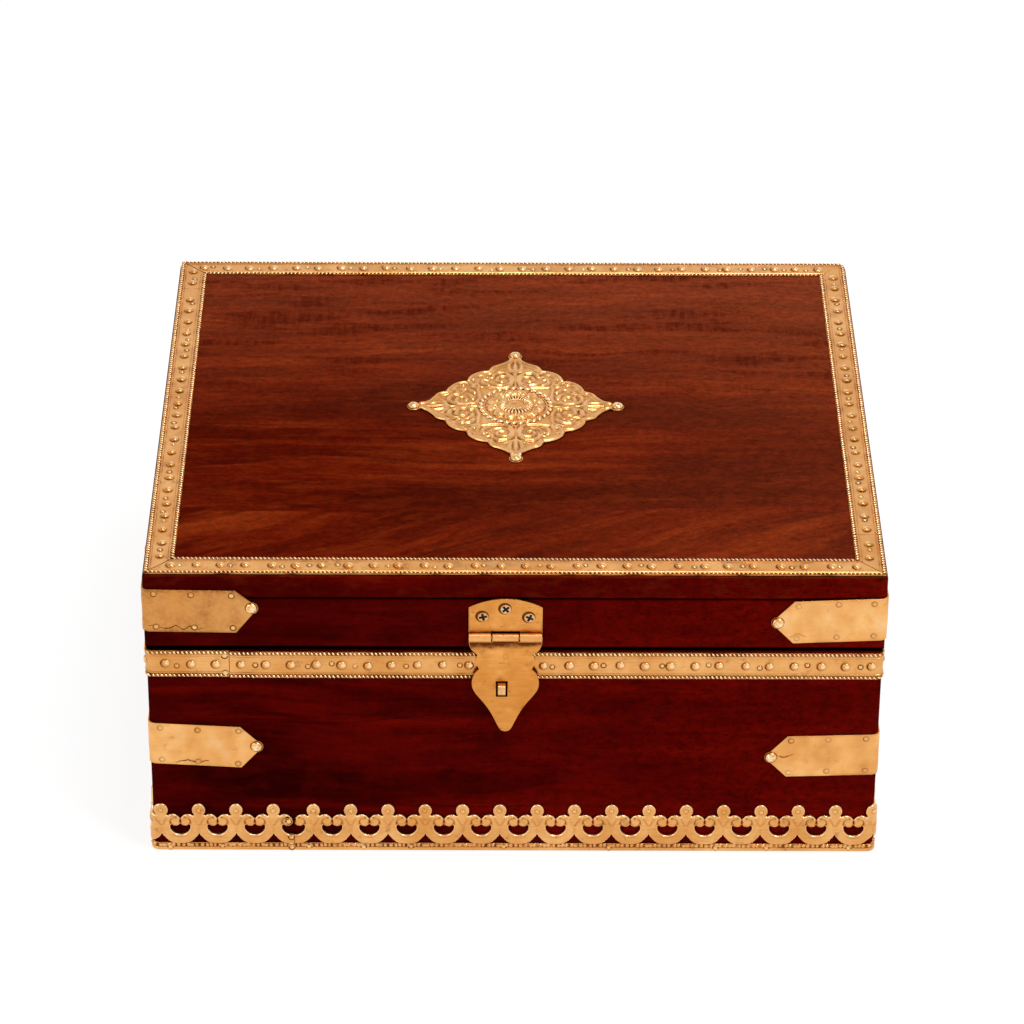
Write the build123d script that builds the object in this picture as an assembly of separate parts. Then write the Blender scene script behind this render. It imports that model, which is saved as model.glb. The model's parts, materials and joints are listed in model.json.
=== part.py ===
from build123d import *

import os
from math import cos, pi, radians, sin

# Brass-bound wooden dowry box with a lift-up lid, a hasp and staple, and a pierced brass gallery
# round its foot. X runs to the right and Y to the back, as seen from the front, and Z runs up.
# The origin is the middle of the base's underside. Sizes are in millimetres.

# ---------------------------------------------------------------- driving dimensions
WIDTH = 380.0            # base, outside of the boards
DEPTH = 336.0
HEIGHT = 172.0           # floor to the top of the lid's wood
RIM_Z = 127.2            # where the base ends and the lid begins
BOARD = 12.0             # wall boards and lid rails
TOP_BOARD = 14.8
BOTTOM_BOARD = 6.0
LID_PROUD = 0.6          # the lid stands out this far at the front and the sides
CORNER_R = 3.0           # vertical corners of the carcass
CORNER_FLATS = 3         # narrow flats that make each of those corners

SHEET = 0.6              # embossed brass strip
BEAD = 0.8               # height of the strip's rolled edges above its sheet
BEAD_WIDE = 1.8
PLATE = 0.9              # plain brass of the corner straps
HASP_PLATE = 1.3
GALLERY_SHEET = 1.1

HINGE_INSET = 1.0        # lid hinge axis, in from the back face
HASP_X = -4.8            # the hasp sits a little left of the middle

# ---------------------------------------------------------------- worked out from them
X_BASE = (-WIDTH / 2, WIDTH / 2)
Y_BASE = (-DEPTH / 2, DEPTH / 2)
X_LID = (X_BASE[0] - LID_PROUD, X_BASE[1] + LID_PROUD)
Y_LID = (Y_BASE[0] - LID_PROUD, Y_BASE[1])
RAIL_TOP = HEIGHT - TOP_BOARD
HINGE_Y = Y_BASE[1] - HINGE_INSET
HUGE = 600.0             # longer than anything that is cut

nodes = {}


def block(x, y, z):
    """A box between two limits on each axis."""
    size = [high - low for low, high in (x, y, z)]
    return Pos(*[(low + high) / 2 for low, high in (x, y, z)]) * Box(*size)


def grown(limits, by):
    return (limits[0] - by, limits[1] + by)


def area(*points):
    """A flat outline through these points, facing up whichever way round they are given."""
    doubled = sum(a[0] * b[1] - b[0] * a[1] for a, b in zip(points, points[1:] + points[:1]))
    return Polygon(*(points if doubled > 0 else points[::-1]), align=None)


def prism_xy(outline, z):
    """A face drawn as (x, y), extruded between two limits on Z."""
    return Pos(0, 0, z[0]) * extrude(outline, z[1] - z[0])


def rounded_form(x, y, z, corner, low_bevel=0.0, top_bevel=0.0):
    """A block with corners rounded in narrow flats, and its bottom and top edges bevelled if wanted."""
    outline = []
    for quarter in range(4):
        centre_x = x[1] - corner if quarter in (0, 3) else x[0] + corner
        centre_y = y[1] - corner if quarter in (0, 1) else y[0] + corner
        for flat in range(CORNER_FLATS + 1):
            turn = pi / 2 * (quarter + flat / CORNER_FLATS)
            outline.append((centre_x + corner * cos(turn), centre_y + corner * sin(turn)))
    form = prism_xy(area(*outline), z)
    if low_bevel:
        form = chamfer(form.faces().sort_by(Axis.Z)[0].edges(), low_bevel)
    if top_bevel:
        form = chamfer(form.faces().sort_by(Axis.Z)[-1].edges(), top_bevel)
    return form


def prism_yz(outline, x):
    """A face drawn as (y, z), extruded between two limits on X."""
    return Pos(x[0], 0, 0) * extrude(Plane.YZ * outline, x[1] - x[0])


def prism_xz(outline, y):
    """A face drawn as (x, z), extruded between two limits on Y."""
    return Pos(0, y[1], 0) * extrude(Plane.XZ * outline, y[1] - y[0])


def many_sided(radius, sides):
    """A small round with a fixed number of flats, for hardware that repeats."""
    return RegularPolygon(radius, sides)


def rod_along_x(radius, sides, x, y, z):
    """A many-sided rod between two limits on X."""
    return Pos(0, y, z) * prism_yz(many_sided(radius, sides), x)


# ---------------------------------------------------------------- wooden carcass
def four_walls(form, x, y, z):
    """Front, back, left and right boards. The long boards are rabbeted over the ends of the short ones."""
    inner_x, inner_y = grown(x, -BOARD), grown(y, -BOARD)
    tongue_y = grown(y, -BOARD / 2)
    left_zone = block((x[0] - 1, inner_x[0]), tongue_y, z)
    right_zone = block((inner_x[1], x[1] + 1), tongue_y, z)
    whole_x = grown(x, 1)
    front = form & block(whole_x, (y[0] - 1, inner_y[0]), z)
    back = form & block(whole_x, (inner_y[1], y[1] + 1), z)
    return {
        "front": front - left_zone - right_zone,
        "back": back - left_zone - right_zone,
        "left": form & left_zone,
        "right": form & right_zone,
    }


# With the hinge axis this far in, the two bevels below meet and stop the lid just past 105 degrees.
RIM_BEVEL = HINGE_INSET
LID_LOW_BEVEL = 1.6
LID_TOP_BEVEL = 1.2

base_z = (0, RIM_Z)
base_form = rounded_form(X_BASE, Y_BASE, base_z, CORNER_R, top_bevel=RIM_BEVEL)

let_in = BOARD / 2
bottom_board = block(
    grown(X_BASE, -let_in),
    grown(Y_BASE, -let_in),
    (0, BOTTOM_BOARD),
)
for side, board in four_walls(base_form, X_BASE, Y_BASE, base_z).items():
    nodes[f"base_{side}_board"] = board - bottom_board
nodes["bottom_board"] = bottom_board

lid_form = rounded_form(X_LID, Y_LID, (RIM_Z, HEIGHT), CORNER_R, LID_LOW_BEVEL, LID_TOP_BEVEL)
for side, rail in four_walls(lid_form, X_LID, Y_LID, (RIM_Z, RAIL_TOP)).items():
    nodes[f"lid_{side}_rail"] = rail
nodes["lid_top_board"] = lid_form & block(grown(X_LID, 1), grown(Y_LID, 1), (RAIL_TOP, HEIGHT + 1))


# ---------------------------------------------------------------- embossed strips
RIM_STRIP_Z = (109.4, 125.4)
RIM_SEAM_X = 147.2       # each length of rim strip ends here, one at the front and one at the back
TOP_STRIP_WIDE = 15.0
TOP_STRIP_MARGIN = 0.9   # wood left bare outside the top strips
PATCH_BACK = 33.2        # length of the patch that finishes the left strip
PATCH_FRONT = 40.0       # and the right strip
SEAM_GAP = 0.2
TAPER = 0.5              # slope at each side of a top strip's rolled edge


def band_round_base(z, thick):
    """A band of metal bent round the four corners of the base."""
    core = rounded_form(X_BASE, Y_BASE, z, CORNER_R)
    return rounded_form(grown(X_BASE, thick), grown(Y_BASE, thick), z, CORNER_R + thick) - core


def cut_at_seams(ring, front_x, back_x):
    """The two lengths of a ring: round the right corners, and round the left corners."""
    outline = area(
        (front_x, -HUGE),
        (front_x, 0),
        (back_x, 0),
        (back_x, HUGE),
        (-HUGE, HUGE),
        (-HUGE, -HUGE),
    )
    left_zone = prism_xy(outline, (-HUGE, HUGE))
    return ring - left_zone, ring & left_zone


rim_strip = band_round_base(RIM_STRIP_Z, SHEET)
for low in (RIM_STRIP_Z[0], RIM_STRIP_Z[1] - BEAD_WIDE):
    rim_strip += band_round_base((low, low + BEAD_WIDE), SHEET + BEAD)


def strip_section():
    """Half a top strip's section either side of its middle line: thin sheet with rolled edges."""
    half = TOP_STRIP_WIDE / 2
    crest = SHEET + BEAD
    rise = [
        (half, 0),
        (half, SHEET),
        (half - TAPER, crest),
        (half - BEAD_WIDE + TAPER, crest),
        (half - BEAD_WIDE, SHEET),
    ]
    return area(*rise, *[(-x, z) for x, z in reversed(rise)])


TOP_STRIP_IN = TOP_STRIP_MARGIN + TOP_STRIP_WIDE / 2     # middle line of a strip, in from the edge
strip_edge_x = grown(X_LID, -TOP_STRIP_MARGIN)
strip_edge_y = grown(Y_LID, -TOP_STRIP_MARGIN)


def top_strip_along_x(y):
    return Pos(0, y, HEIGHT) * prism_yz(strip_section(), strip_edge_x)


def top_strip_along_y(x):
    return Pos(x, 0, HEIGHT) * prism_xz(strip_section(), strip_edge_y)


def mitred_end_zone(y, inward):
    """What a mitred strip along X may fill: its sides lean in at 45 degrees from the lid's corners."""
    lean = 2 * TOP_STRIP_WIDE
    outline = area(
        (strip_edge_x[0], y),
        (strip_edge_x[1], y),
        (strip_edge_x[1] - lean, y + inward * lean),
        (strip_edge_x[0] + lean, y + inward * lean),
    )
    return prism_xy(outline, (0, 2 * HEIGHT))


front_zone = mitred_end_zone(strip_edge_y[0], 1)
back_zone = mitred_end_zone(strip_edge_y[1], -1)
strip_front = top_strip_along_x(Y_LID[0] + TOP_STRIP_IN) & front_zone
strip_back = top_strip_along_x(Y_LID[1] - TOP_STRIP_IN) & back_zone
strip_left = top_strip_along_y(X_LID[0] + TOP_STRIP_IN) - front_zone - back_zone
strip_right = top_strip_along_y(X_LID[1] - TOP_STRIP_IN) - front_zone - back_zone


def seam_at(y):
    return block((-HUGE, HUGE), (y - SEAM_GAP / 2, y + SEAM_GAP / 2), (0, 2 * HEIGHT))


def front_and_back_of(strip, y):
    """A side strip cut into two at a seam: its front length and its back length."""
    front, back = (strip - seam_at(y)).solids().sort_by(Axis.Y)
    return front, back


left_long, left_patch = front_and_back_of(strip_left, Y_LID[1] - PATCH_BACK)
right_patch, right_long = front_and_back_of(strip_right, Y_LID[0] + PATCH_FRONT)
nodes["top_strip_front"] = strip_front
nodes["top_strip_left"] = left_long
nodes["top_strip_left_patch"] = left_patch
nodes["top_strip_right_patch"] = right_patch
nodes["top_strip_back_right"] = strip_back + right_long


# ---------------------------------------------------------------- pierced gallery round the foot
GALLERY_TOP = 30.0
GALLERY_LOW = 0.4                # the boards carry the box, and the thin sheet stays off the floor
GALLERY_PITCH = 19.65
GALLERY_SEAM_X = -115.6          # seam at the front
GALLERY_BACK_SEAM_X = 122.4
FIRST_KNOB = -105.5              # first knob right of the front seam, measured along the strip
LAST_KNOB = -126.6               # last knob left of it
KNOB_R = 3.9
KNOB_TURNS = (-132, -88, -44, 0, 44, 88, 132)    # points round a knob, in degrees from its top
BAND_TOP = 4.8                   # plain band along the floor
SCROLL_R = 9.95                  # each C-scroll, seen from outside
SCROLL_Z = 13.6
SCROLL_TURNS = (50, 80)          # points up a scroll's back, from the stem to its curled end
NOTCH_LOW = 20.8                 # between the two curled ends of a scroll
LEAF_TIP = (0, 10.3)             # pointed opening below each knob, between two scrolls
LEAF_SIDE = (2.0, 7.5)
LEAF_FOOT = (5.2, BAND_TOP)
MOON_R = 5.3                     # half-moon opening inside a scroll
MOON_Z = 15.0
MOON_SIDES = 4                   # few sides, since there are over seventy of everything here
MOON_CUSP_Z = 16.6


def across_knob():
    """The top edge over one knob: from the notch on its left, up and over, and down to the next notch."""
    middle = GALLERY_TOP - KNOB_R
    knob = [(KNOB_R * sin(radians(turn)), middle + KNOB_R * cos(radians(turn))) for turn in KNOB_TURNS]
    right = [
        (GALLERY_PITCH / 2 - SCROLL_R * cos(radians(turn)), SCROLL_Z + SCROLL_R * sin(radians(turn)))
        for turn in SCROLL_TURNS
    ]
    left = [(-x, z) for x, z in reversed(right)]
    return [(-GALLERY_PITCH / 2, NOTCH_LOW)] + left + knob + right


def leaf_opening():
    tip, side, foot = LEAF_TIP, LEAF_SIDE, LEAF_FOOT
    return area(tip, (-side[0], side[1]), (-foot[0], foot[1]), foot, side)


def moon_opening():
    turns = [-pi + pi * step / MOON_SIDES for step in range(MOON_SIDES + 1)]
    low = [(MOON_R * cos(turn), MOON_Z + MOON_R * sin(turn)) for turn in turns]
    return area(*low, (0, MOON_CUSP_Z))


def gallery_outline(knobs):
    """One side's stretch of gallery, flat, with its knobs at these places along it."""
    top_edge = [(place + x, z) for place in knobs for x, z in across_knob()]
    end = top_edge[-1][0]
    leaves = [Pos(place, 0) * leaf_opening() for place in knobs]
    moons = [Pos(place + GALLERY_PITCH / 2, 0) * moon_opening() for place in knobs[:-1]]
    return area((top_edge[0][0], 0), *top_edge, (end, 0)) - leaves - moons


FLAT_X = WIDTH / 2 - CORNER_R
FLAT_Y = DEPTH / 2 - CORNER_R
CORNER_ARC = CORNER_R * pi / 4           # strip length from the end of a flat side to a corner's middle
SIDE_STEP = FLAT_X + FLAT_Y + 2 * CORNER_ARC
GIRTH = 4 * SIDE_STEP


def places_on_side(first, last, middle, half_length):
    """Where a run of knobs falls on one side, measured from the side's middle."""
    count = int(abs(last - first) / GALLERY_PITCH) + 1
    step = GALLERY_PITCH if last > first else -GALLERY_PITCH
    run = [first + step * number - middle for number in range(-1, count + 1)]
    reach = half_length + GALLERY_PITCH
    return {place for place in run if abs(place) < reach}


def side_zone(half_x, half_y):
    """The part of the ring that belongs to the front: it ends on the diagonals of the two corners."""
    far = 50.0
    outline = area(
        (-half_x, -half_y),
        (half_x, -half_y),
        (half_x + far, -half_y - far),
        (-half_x - far, -half_y - far),
    )
    return prism_xy(outline, (0, GALLERY_TOP))


def gallery_run(ring, first, last):
    """A whole length of gallery: each side is cut out flat-on and meets the next on the corner's diagonal."""
    run = []
    for quarter in range(4):
        along_x = quarter % 2 == 0
        half_x, half_y = (FLAT_X, FLAT_Y) if along_x else (FLAT_Y, FLAT_X)
        half_length = half_x + CORNER_R
        middle = quarter * SIDE_STEP
        knobs = places_on_side(first, last, middle, half_length)
        knobs |= places_on_side(first, last, middle - GIRTH, half_length)
        if not knobs:
            continue
        cutter = prism_xz(gallery_outline(sorted(knobs)), (-half_y - 3 * CORNER_R, -half_y))
        cutter &= side_zone(half_x, half_y)
        run.append(Rot(0, 0, 90 * quarter) * cutter)
    pieces = [ring & cutter for cutter in run]
    return pieces[0].fuse(*pieces[1:]) if len(pieces) > 1 else pieces[0]


gallery_ring = band_round_base((GALLERY_LOW, GALLERY_TOP), GALLERY_SHEET)
ring_right, ring_left = cut_at_seams(gallery_ring, GALLERY_SEAM_X, GALLERY_BACK_SEAM_X)
back_end = 2 * SIDE_STEP - GALLERY_BACK_SEAM_X
nodes["gallery_front_right"] = gallery_run(ring_right, FIRST_KNOB, back_end)
nodes["gallery_back_left"] = gallery_run(ring_left, LAST_KNOB, back_end - GIRTH)

rim_right, rim_left = cut_at_seams(rim_strip, -RIM_SEAM_X, RIM_SEAM_X)
nodes["rim_strip_front_right"] = rim_right
nodes["rim_strip_back_left"] = rim_left


# ---------------------------------------------------------------- corner straps and dome nails
STRAP_WIDE = 25.4
STRAP_FLAT = 47.5        # from the corner to where the point begins
STRAP_REACH = 59.0       # from the corner to the tip
STRAP_TIP_CUT = 2.4      # half of the blunt end under the nail
NAIL_FROM_TIP = 3.6
NAIL_SIDES = 8
NAIL_TAPER = 38.0
NAIL_DEEP = 9.0

# Each strap was nailed on by hand: height at the corner, where the point begins, and at the tip.
STRAP_HEIGHTS = {
    "base_front_left": (68.3, 65.7, 66.4),
    "base_front_right": (62.2, 60.8, 60.4),
    "base_back_left": (66.0, 65.0, 65.4),
    "base_back_right": (63.4, 64.4, 64.0),
    "lid_front_left": (150.7, 150.0, 152.4),
    "lid_front_right": (146.5, 144.5, 144.3),
    "lid_back_left": (148.2, 147.0, 147.4),
    "lid_back_right": (147.0, 147.8, 147.4),
}


def strap_outline(heights):
    """One face of a strap, drawn as (distance from the corner, height)."""
    at_corner, at_point, at_tip = heights
    half = STRAP_WIDE / 2
    past_corner = -2 * CORNER_R
    return area(
        (past_corner, at_corner - half),
        (0, at_corner - half),
        (STRAP_FLAT, at_point - half),
        (STRAP_REACH, at_tip - STRAP_TIP_CUT),
        (STRAP_REACH, at_tip + STRAP_TIP_CUT),
        (STRAP_FLAT, at_point + half),
        (0, at_corner + half),
        (past_corner, at_corner + half),
    )


def dome_nail(head_r, head_high, shank):
    """A dome-headed nail that points down, with the underside of its head at the origin."""
    head = extrude(Rot(0, 0, 180 / NAIL_SIDES) * many_sided(head_r, NAIL_SIDES), head_high, taper=NAIL_TAPER)
    side = (-shank / 2, shank / 2)
    return head + block(side, side, (-NAIL_DEEP, 0))


strap_nail = dome_nail(head_r=3.5, head_high=2.2, shank=1.6)


def corner_strap(x, y, side_x, side_y, heights):
    """A strap bent round one corner of a box with these limits, and its nails. A side is -1 or 1."""
    low_z, high_z = min(heights) - STRAP_WIDE, max(heights) + STRAP_WIDE
    core = rounded_form(x, y, (low_z, high_z), CORNER_R)
    skin = rounded_form(grown(x, PLATE), grown(y, PLATE), (low_z, high_z), CORNER_R + PLATE) - core
    face_x, face_y = (x[(side_x + 1) // 2], y[(side_y + 1) // 2])
    across = 2 * CORNER_R
    flat = strap_outline(heights)
    along_x = prism_xz(flat, (face_y - across, face_y + across))
    along_y = prism_yz(flat, (face_x - across, face_x + across))
    if side_x > 0:
        along_x = mirror(along_x, Plane.YZ)
    if side_y > 0:
        along_y = mirror(along_y, Plane.XZ)
    long_way = Pos(face_x, 0, 0) * along_x
    short_way = Pos(0, face_y, 0) * along_y
    strap = (skin & long_way) + (skin & short_way)
    reach = STRAP_REACH - NAIL_FROM_TIP
    seat_x, seat_y = face_x + side_x * PLATE, face_y + side_y * PLATE
    nails = [
        Pos(face_x - side_x * reach, seat_y, heights[2]) * Rot(-90 * side_y, 0, 0) * strap_nail,
        Pos(seat_x, face_y - side_y * reach, heights[2]) * Rot(0, 90 * side_x, 0) * strap_nail,
    ]
    return strap - nails, nails


SIDES = {"left": -1, "right": 1, "front": -1, "back": 1}
strap_nails = {"base": [], "lid": []}
for where, heights in STRAP_HEIGHTS.items():
    body, end, side = where.split("_")
    x_limits, y_limits = (X_BASE, Y_BASE) if body == "base" else (X_LID, Y_LID)
    strap, nails = corner_strap(x_limits, y_limits, SIDES[side], SIDES[end], heights)
    nodes[f"strap_{where}"] = strap
    strap_nails[body] += nails
for body, nails in strap_nails.items():
    nodes[f"strap_{body}_nails"] = Compound(nails)


# ---------------------------------------------------------------- medallion on the lid
MEDALLION_AT = (0.8, 2.2)
MEDALLION_NAIL = 55.3            # from the middle to each nail
MEDALLION_CUSPS = [(15.3, 37.9), (26.8, 26.8), (37.9, 15.3)]
MEDALLION_EAR = (4.4, 49.2)      # where the edge meets the neck of the round ear under a nail
EAR_R = 3.7
EAR_NECK = 2.9
EAR_SIDES = 8
LOBE_BULGE = 1.4
MEDALLION_SHEET = 0.8
ROPE_RING = (19.8, 18.0)         # outside and inside of the ring round the rosette
ROPE_HIGH = 0.9
ROSETTE_R = 15.5
ROSETTE_HIGH = 3.0
ROSETTE_TAPER = 60.0
ROUND_SIDES = 16


def lobe(start, end, bulge):
    """A shallow arc from start to end that bows away from the medallion's middle."""
    middle = (Vector(*start) + Vector(*end)) / 2
    out = middle + Vector(1, 1).normalized() * bulge
    return ThreePointArc(start, (out.X, out.Y), end)


def medallion_quarter_edge():
    """The edge from the ear at +Y to the ear at +X: two flowing ends with two full lobes between."""
    ear_y, ear_x = MEDALLION_EAR, MEDALLION_EAR[::-1]
    first, middle, last = MEDALLION_CUSPS
    return [
        lobe(ear_y, first, LOBE_BULGE / 2),
        lobe(first, middle, LOBE_BULGE),
        lobe(middle, last, LOBE_BULGE),
        lobe(last, ear_x, LOBE_BULGE / 2),
        Line(ear_x, (ear_x[0], -ear_x[1])),
    ]


def medallion_face():
    edges = []
    for quarter in range(4):
        edges += [Rot(0, 0, -90 * quarter) * edge for edge in medallion_quarter_edge()]
    return make_face(edges)


def spread(turns, radius):
    """Places on a circle, evenly spaced from +X."""
    angles = [2 * pi * turn / turns for turn in range(turns)]
    return [(radius * cos(angle), radius * sin(angle)) for angle in angles]


ear_disc = Pos(MEDALLION_NAIL, 0) * Rot(0, 0, 180 / EAR_SIDES) * many_sided(EAR_R, EAR_SIDES)
ear_neck = area(
    (MEDALLION_EAR[1] - 1, -MEDALLION_EAR[0]),
    (MEDALLION_EAR[1], -MEDALLION_EAR[0]),
    (MEDALLION_NAIL - EAR_R / 2, -EAR_NECK),
    (MEDALLION_NAIL - EAR_R / 2, EAR_NECK),
    (MEDALLION_EAR[1], MEDALLION_EAR[0]),
    (MEDALLION_EAR[1] - 1, MEDALLION_EAR[0]),
)
ears = [Rot(0, 0, 90 * quarter) * (ear_disc + ear_neck) for quarter in range(4)]
medallion = extrude(Sketch() + medallion_face() + ears, MEDALLION_SHEET)
ring_outer, ring_inner = [many_sided(radius, ROUND_SIDES) for radius in ROPE_RING]
medallion += extrude(ring_outer - ring_inner, MEDALLION_SHEET + ROPE_HIGH)
rosette = extrude(many_sided(ROSETTE_R, ROUND_SIDES), ROSETTE_HIGH, taper=ROSETTE_TAPER)
medallion += Pos(0, 0, MEDALLION_SHEET) * rosette
medallion_nail = dome_nail(head_r=3.0, head_high=1.9, shank=1.4)
medallion_nails = [Pos(*place, MEDALLION_SHEET) * medallion_nail for place in spread(4, MEDALLION_NAIL)]
medallion_place = Pos(*MEDALLION_AT, HEIGHT)
nodes["medallion"] = medallion_place * (medallion - medallion_nails)
nodes["medallion_nails"] = medallion_place * Compound(medallion_nails)


# ---------------------------------------------------------------- lid hinges
HINGES_AT = {"left": -110.0, "right": 110.0}
HINGE_LONG = 40.0
KNUCKLE_R = 2.5
MIDDLE_KNUCKLE = 15.0
KNUCKLE_GAP = 0.3
CHANNEL_R = 3.0          # hollow in the wood that the knuckles turn in
HINGE_PIN_R = 1.15
HINGE_BORE_R = 1.25
HINGE_SIDES = 8
LEAF_THICK = 1.2
LEAF_Y = 156.5           # front edge of both leaves
LEAF_SUNK = 0.2          # each leaf lies this far below the wood that it is let into
LEAF_BACK_Y = HINGE_Y - CHANNEL_R        # a leaf's edge beside the other leaf's knuckle
HINGE_SCREW_Y = 160.6
HINGE_SCREW_X = 13.0     # either side of the hinge's middle


COUNTERSINK = 42.0       # slope of a screw head's underside


def countersunk_screw(head_r, head_high, shank_r, length, sides):
    """A screw that points down, with the face of its head at the origin."""
    head = extrude(many_sided(head_r, sides), head_high, taper=COUNTERSINK)
    return mirror(head, Plane.XY) + Pos(0, 0, -length) * extrude(many_sided(shank_r, sides), length)


hinge_screw = countersunk_screw(head_r=2.2, head_high=1.0, shank_r=1.2, length=10.0, sides=6)


def hinge_leaf(spans, z, screw_turn):
    """One leaf, middle on X = 0: a sheet between two heights, with knuckles on these spans of X."""
    half = (-HINGE_LONG / 2, HINGE_LONG / 2)
    leaf = block(half, (LEAF_Y, LEAF_BACK_Y), z)
    for span in spans:
        leaf += block(span, (LEAF_BACK_Y - 1, HINGE_Y - HINGE_BORE_R), z)
        leaf += rod_along_x(KNUCKLE_R, HINGE_SIDES, span, HINGE_Y, RIM_Z)
    leaf -= rod_along_x(HINGE_BORE_R, HINGE_SIDES, half, HINGE_Y, RIM_Z)
    face_z = z[1] if screw_turn == 0 else z[0]
    screws = [
        Pos(place, HINGE_SCREW_Y, face_z) * Rot(screw_turn, 0, 0) * hinge_screw
        for place in (-HINGE_SCREW_X, HINGE_SCREW_X)
    ]
    return leaf - screws, screws


end = HINGE_LONG / 2
inner = MIDDLE_KNUCKLE / 2
outer_spans = [(-end, -inner - KNUCKLE_GAP), (inner + KNUCKLE_GAP, end)]
base_leaf_z = (RIM_Z - LEAF_SUNK - LEAF_THICK, RIM_Z - LEAF_SUNK)
lid_leaf_z = (RIM_Z + LEAF_SUNK, RIM_Z + LEAF_SUNK + LEAF_THICK)
base_leaf, base_screws = hinge_leaf(outer_spans, base_leaf_z, 0)
lid_leaf, lid_screws = hinge_leaf([(-inner, inner)], lid_leaf_z, 180)
hinge_pin = rod_along_x(HINGE_PIN_R, HINGE_SIDES, (-end, end), HINGE_Y, RIM_Z)
channel = rod_along_x(CHANNEL_R, HINGE_SIDES, (-end - KNUCKLE_GAP, end + KNUCKLE_GAP), HINGE_Y, RIM_Z)
leaf_bed = block((-end, end), (LEAF_Y, HINGE_Y), (base_leaf_z[0], lid_leaf_z[1]))

base_hinge_screws, lid_hinge_screws = [], []
for side, x in HINGES_AT.items():
    place = Pos(x, 0, 0)
    nodes[f"hinge_base_leaf_{side}"] = place * base_leaf
    nodes[f"hinge_lid_leaf_{side}"] = place * lid_leaf
    nodes[f"hinge_pin_{side}"] = place * hinge_pin
    base_hinge_screws += [place * screw for screw in base_screws]
    lid_hinge_screws += [place * screw for screw in lid_screws]
    for cut in ("base_back_board", "lid_back_rail"):
        nodes[cut] -= place * leaf_bed + place * channel
    nodes["rim_strip_back_left" if x < RIM_SEAM_X else "rim_strip_front_right"] -= place * channel
nodes["hinge_base_screws"] = Compound(base_hinge_screws)
nodes["hinge_lid_screws"] = Compound(lid_hinge_screws)


# ---------------------------------------------------------------- hasp and staple
HASP_AXIS_Y = -171.3
HASP_AXIS_Z = 136.2
HASP_KNUCKLE_R = 2.4
HASP_BORE_R = 1.07
HASP_PIN_R = 1.0
HASP_SIDES = 12
HASP_HALF = 19.0             # half the hasp's width
TAB_HALF = 7.0               # the plate's own knuckle, in the middle
LEAF_FACE_Y = Y_LID[0] - HASP_PLATE
SHOULDER_Z = 153.5
ARCH_Z = 158.6
LEAF_MIDDLE_Z = 139.0        # the leaf stops short above the plate's knuckle
PLATE_Y = (-171.4, -170.1)
PLATE_TOP_Z = 133.5
TAB_TOP_Z = 135.0
SLOT_X = (-9.6, -3.7)
SLOT_Z = (99.7, 109.2)
HASP_SCREWS = [(-16.4, 147.7, 12), (-4.7, 152.4, 40), (7.5, 147.2, 65)]      # x, z and turn of each slot


def hasp_rod(radius, span):
    """A rod on the hasp's axis, between two places measured from the hasp's middle."""
    return Pos(HASP_X, 0, 0) * rod_along_x(radius, HASP_SIDES, span, HASP_AXIS_Y, HASP_AXIS_Z)


whole_hasp = (-HASP_HALF, HASP_HALF)
hasp_bore = hasp_rod(HASP_BORE_R, whole_hasp)


def hasp_leaf():
    """The upper leaf: an arched plate on the lid, with a knuckle at either side."""
    arch = Line((HASP_HALF, HASP_AXIS_Z), (HASP_HALF, SHOULDER_Z))
    arch += ThreePointArc((HASP_HALF, SHOULDER_Z), (0, ARCH_Z), (-HASP_HALF, SHOULDER_Z))
    arch += Polyline(
        (-HASP_HALF, SHOULDER_Z),
        (-HASP_HALF, HASP_AXIS_Z),
        (HASP_HALF, HASP_AXIS_Z),
    )
    gap_half = TAB_HALF + KNUCKLE_GAP
    outline = make_face(arch) - Pos(0, LEAF_MIDDLE_Z) * Rectangle(
        2 * gap_half, 2 * (LEAF_MIDDLE_Z - HASP_AXIS_Z), align=(Align.CENTER, Align.MAX)
    )
    leaf = Pos(HASP_X, 0, 0) * prism_xz(outline, (LEAF_FACE_Y, Y_LID[0]))
    for side in (-1, 1):
        leaf += hasp_rod(HASP_KNUCKLE_R, sorted((side * gap_half, side * HASP_HALF)))
    return leaf - hasp_bore


def plate_edge():
    """The plate's right-hand edge, down from its top corner to the middle of its tip, as (across, z)."""
    curves = [
        ThreePointArc((19.0, 133.5), (17.8, 129.0), (14.5, 125.4)),
        ThreePointArc((14.5, 125.4), (15.5, 121.0), (13.6, 116.5)),
        ThreePointArc((13.6, 116.5), (16.4, 113.0), (17.4, 108.0)),
        ThreePointArc((17.4, 108.0), (16.9, 104.0), (14.6, 100.5)),
        ThreePointArc((14.6, 100.5), (8.3, 91.0), (3.2, 80.3)),
        ThreePointArc((3.2, 80.3), (2.1, 78.6), (0, 78.0)),
    ]
    return Curve() + curves


def hasp_plate():
    """The swinging plate: shouldered, waisted and drawn down to a small round tip, with its slot."""
    right = plate_edge()
    top = Line((-HASP_HALF, PLATE_TOP_Z), (HASP_HALF, PLATE_TOP_Z))
    outline = make_face(right + mirror(right, Plane.YZ) + top)
    slot_middle = (sum(SLOT_X) / 2 - HASP_X, sum(SLOT_Z) / 2)
    outline -= Pos(*slot_middle) * Rectangle(SLOT_X[1] - SLOT_X[0], SLOT_Z[1] - SLOT_Z[0])
    plate = prism_xz(outline, PLATE_Y) + block((-TAB_HALF, TAB_HALF), PLATE_Y, (PLATE_TOP_Z - 1, TAB_TOP_Z))
    knuckle = hasp_rod(HASP_KNUCKLE_R, (-TAB_HALF, TAB_HALF))
    return Pos(HASP_X, 0, 0) * plate + knuckle - hasp_bore


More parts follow.
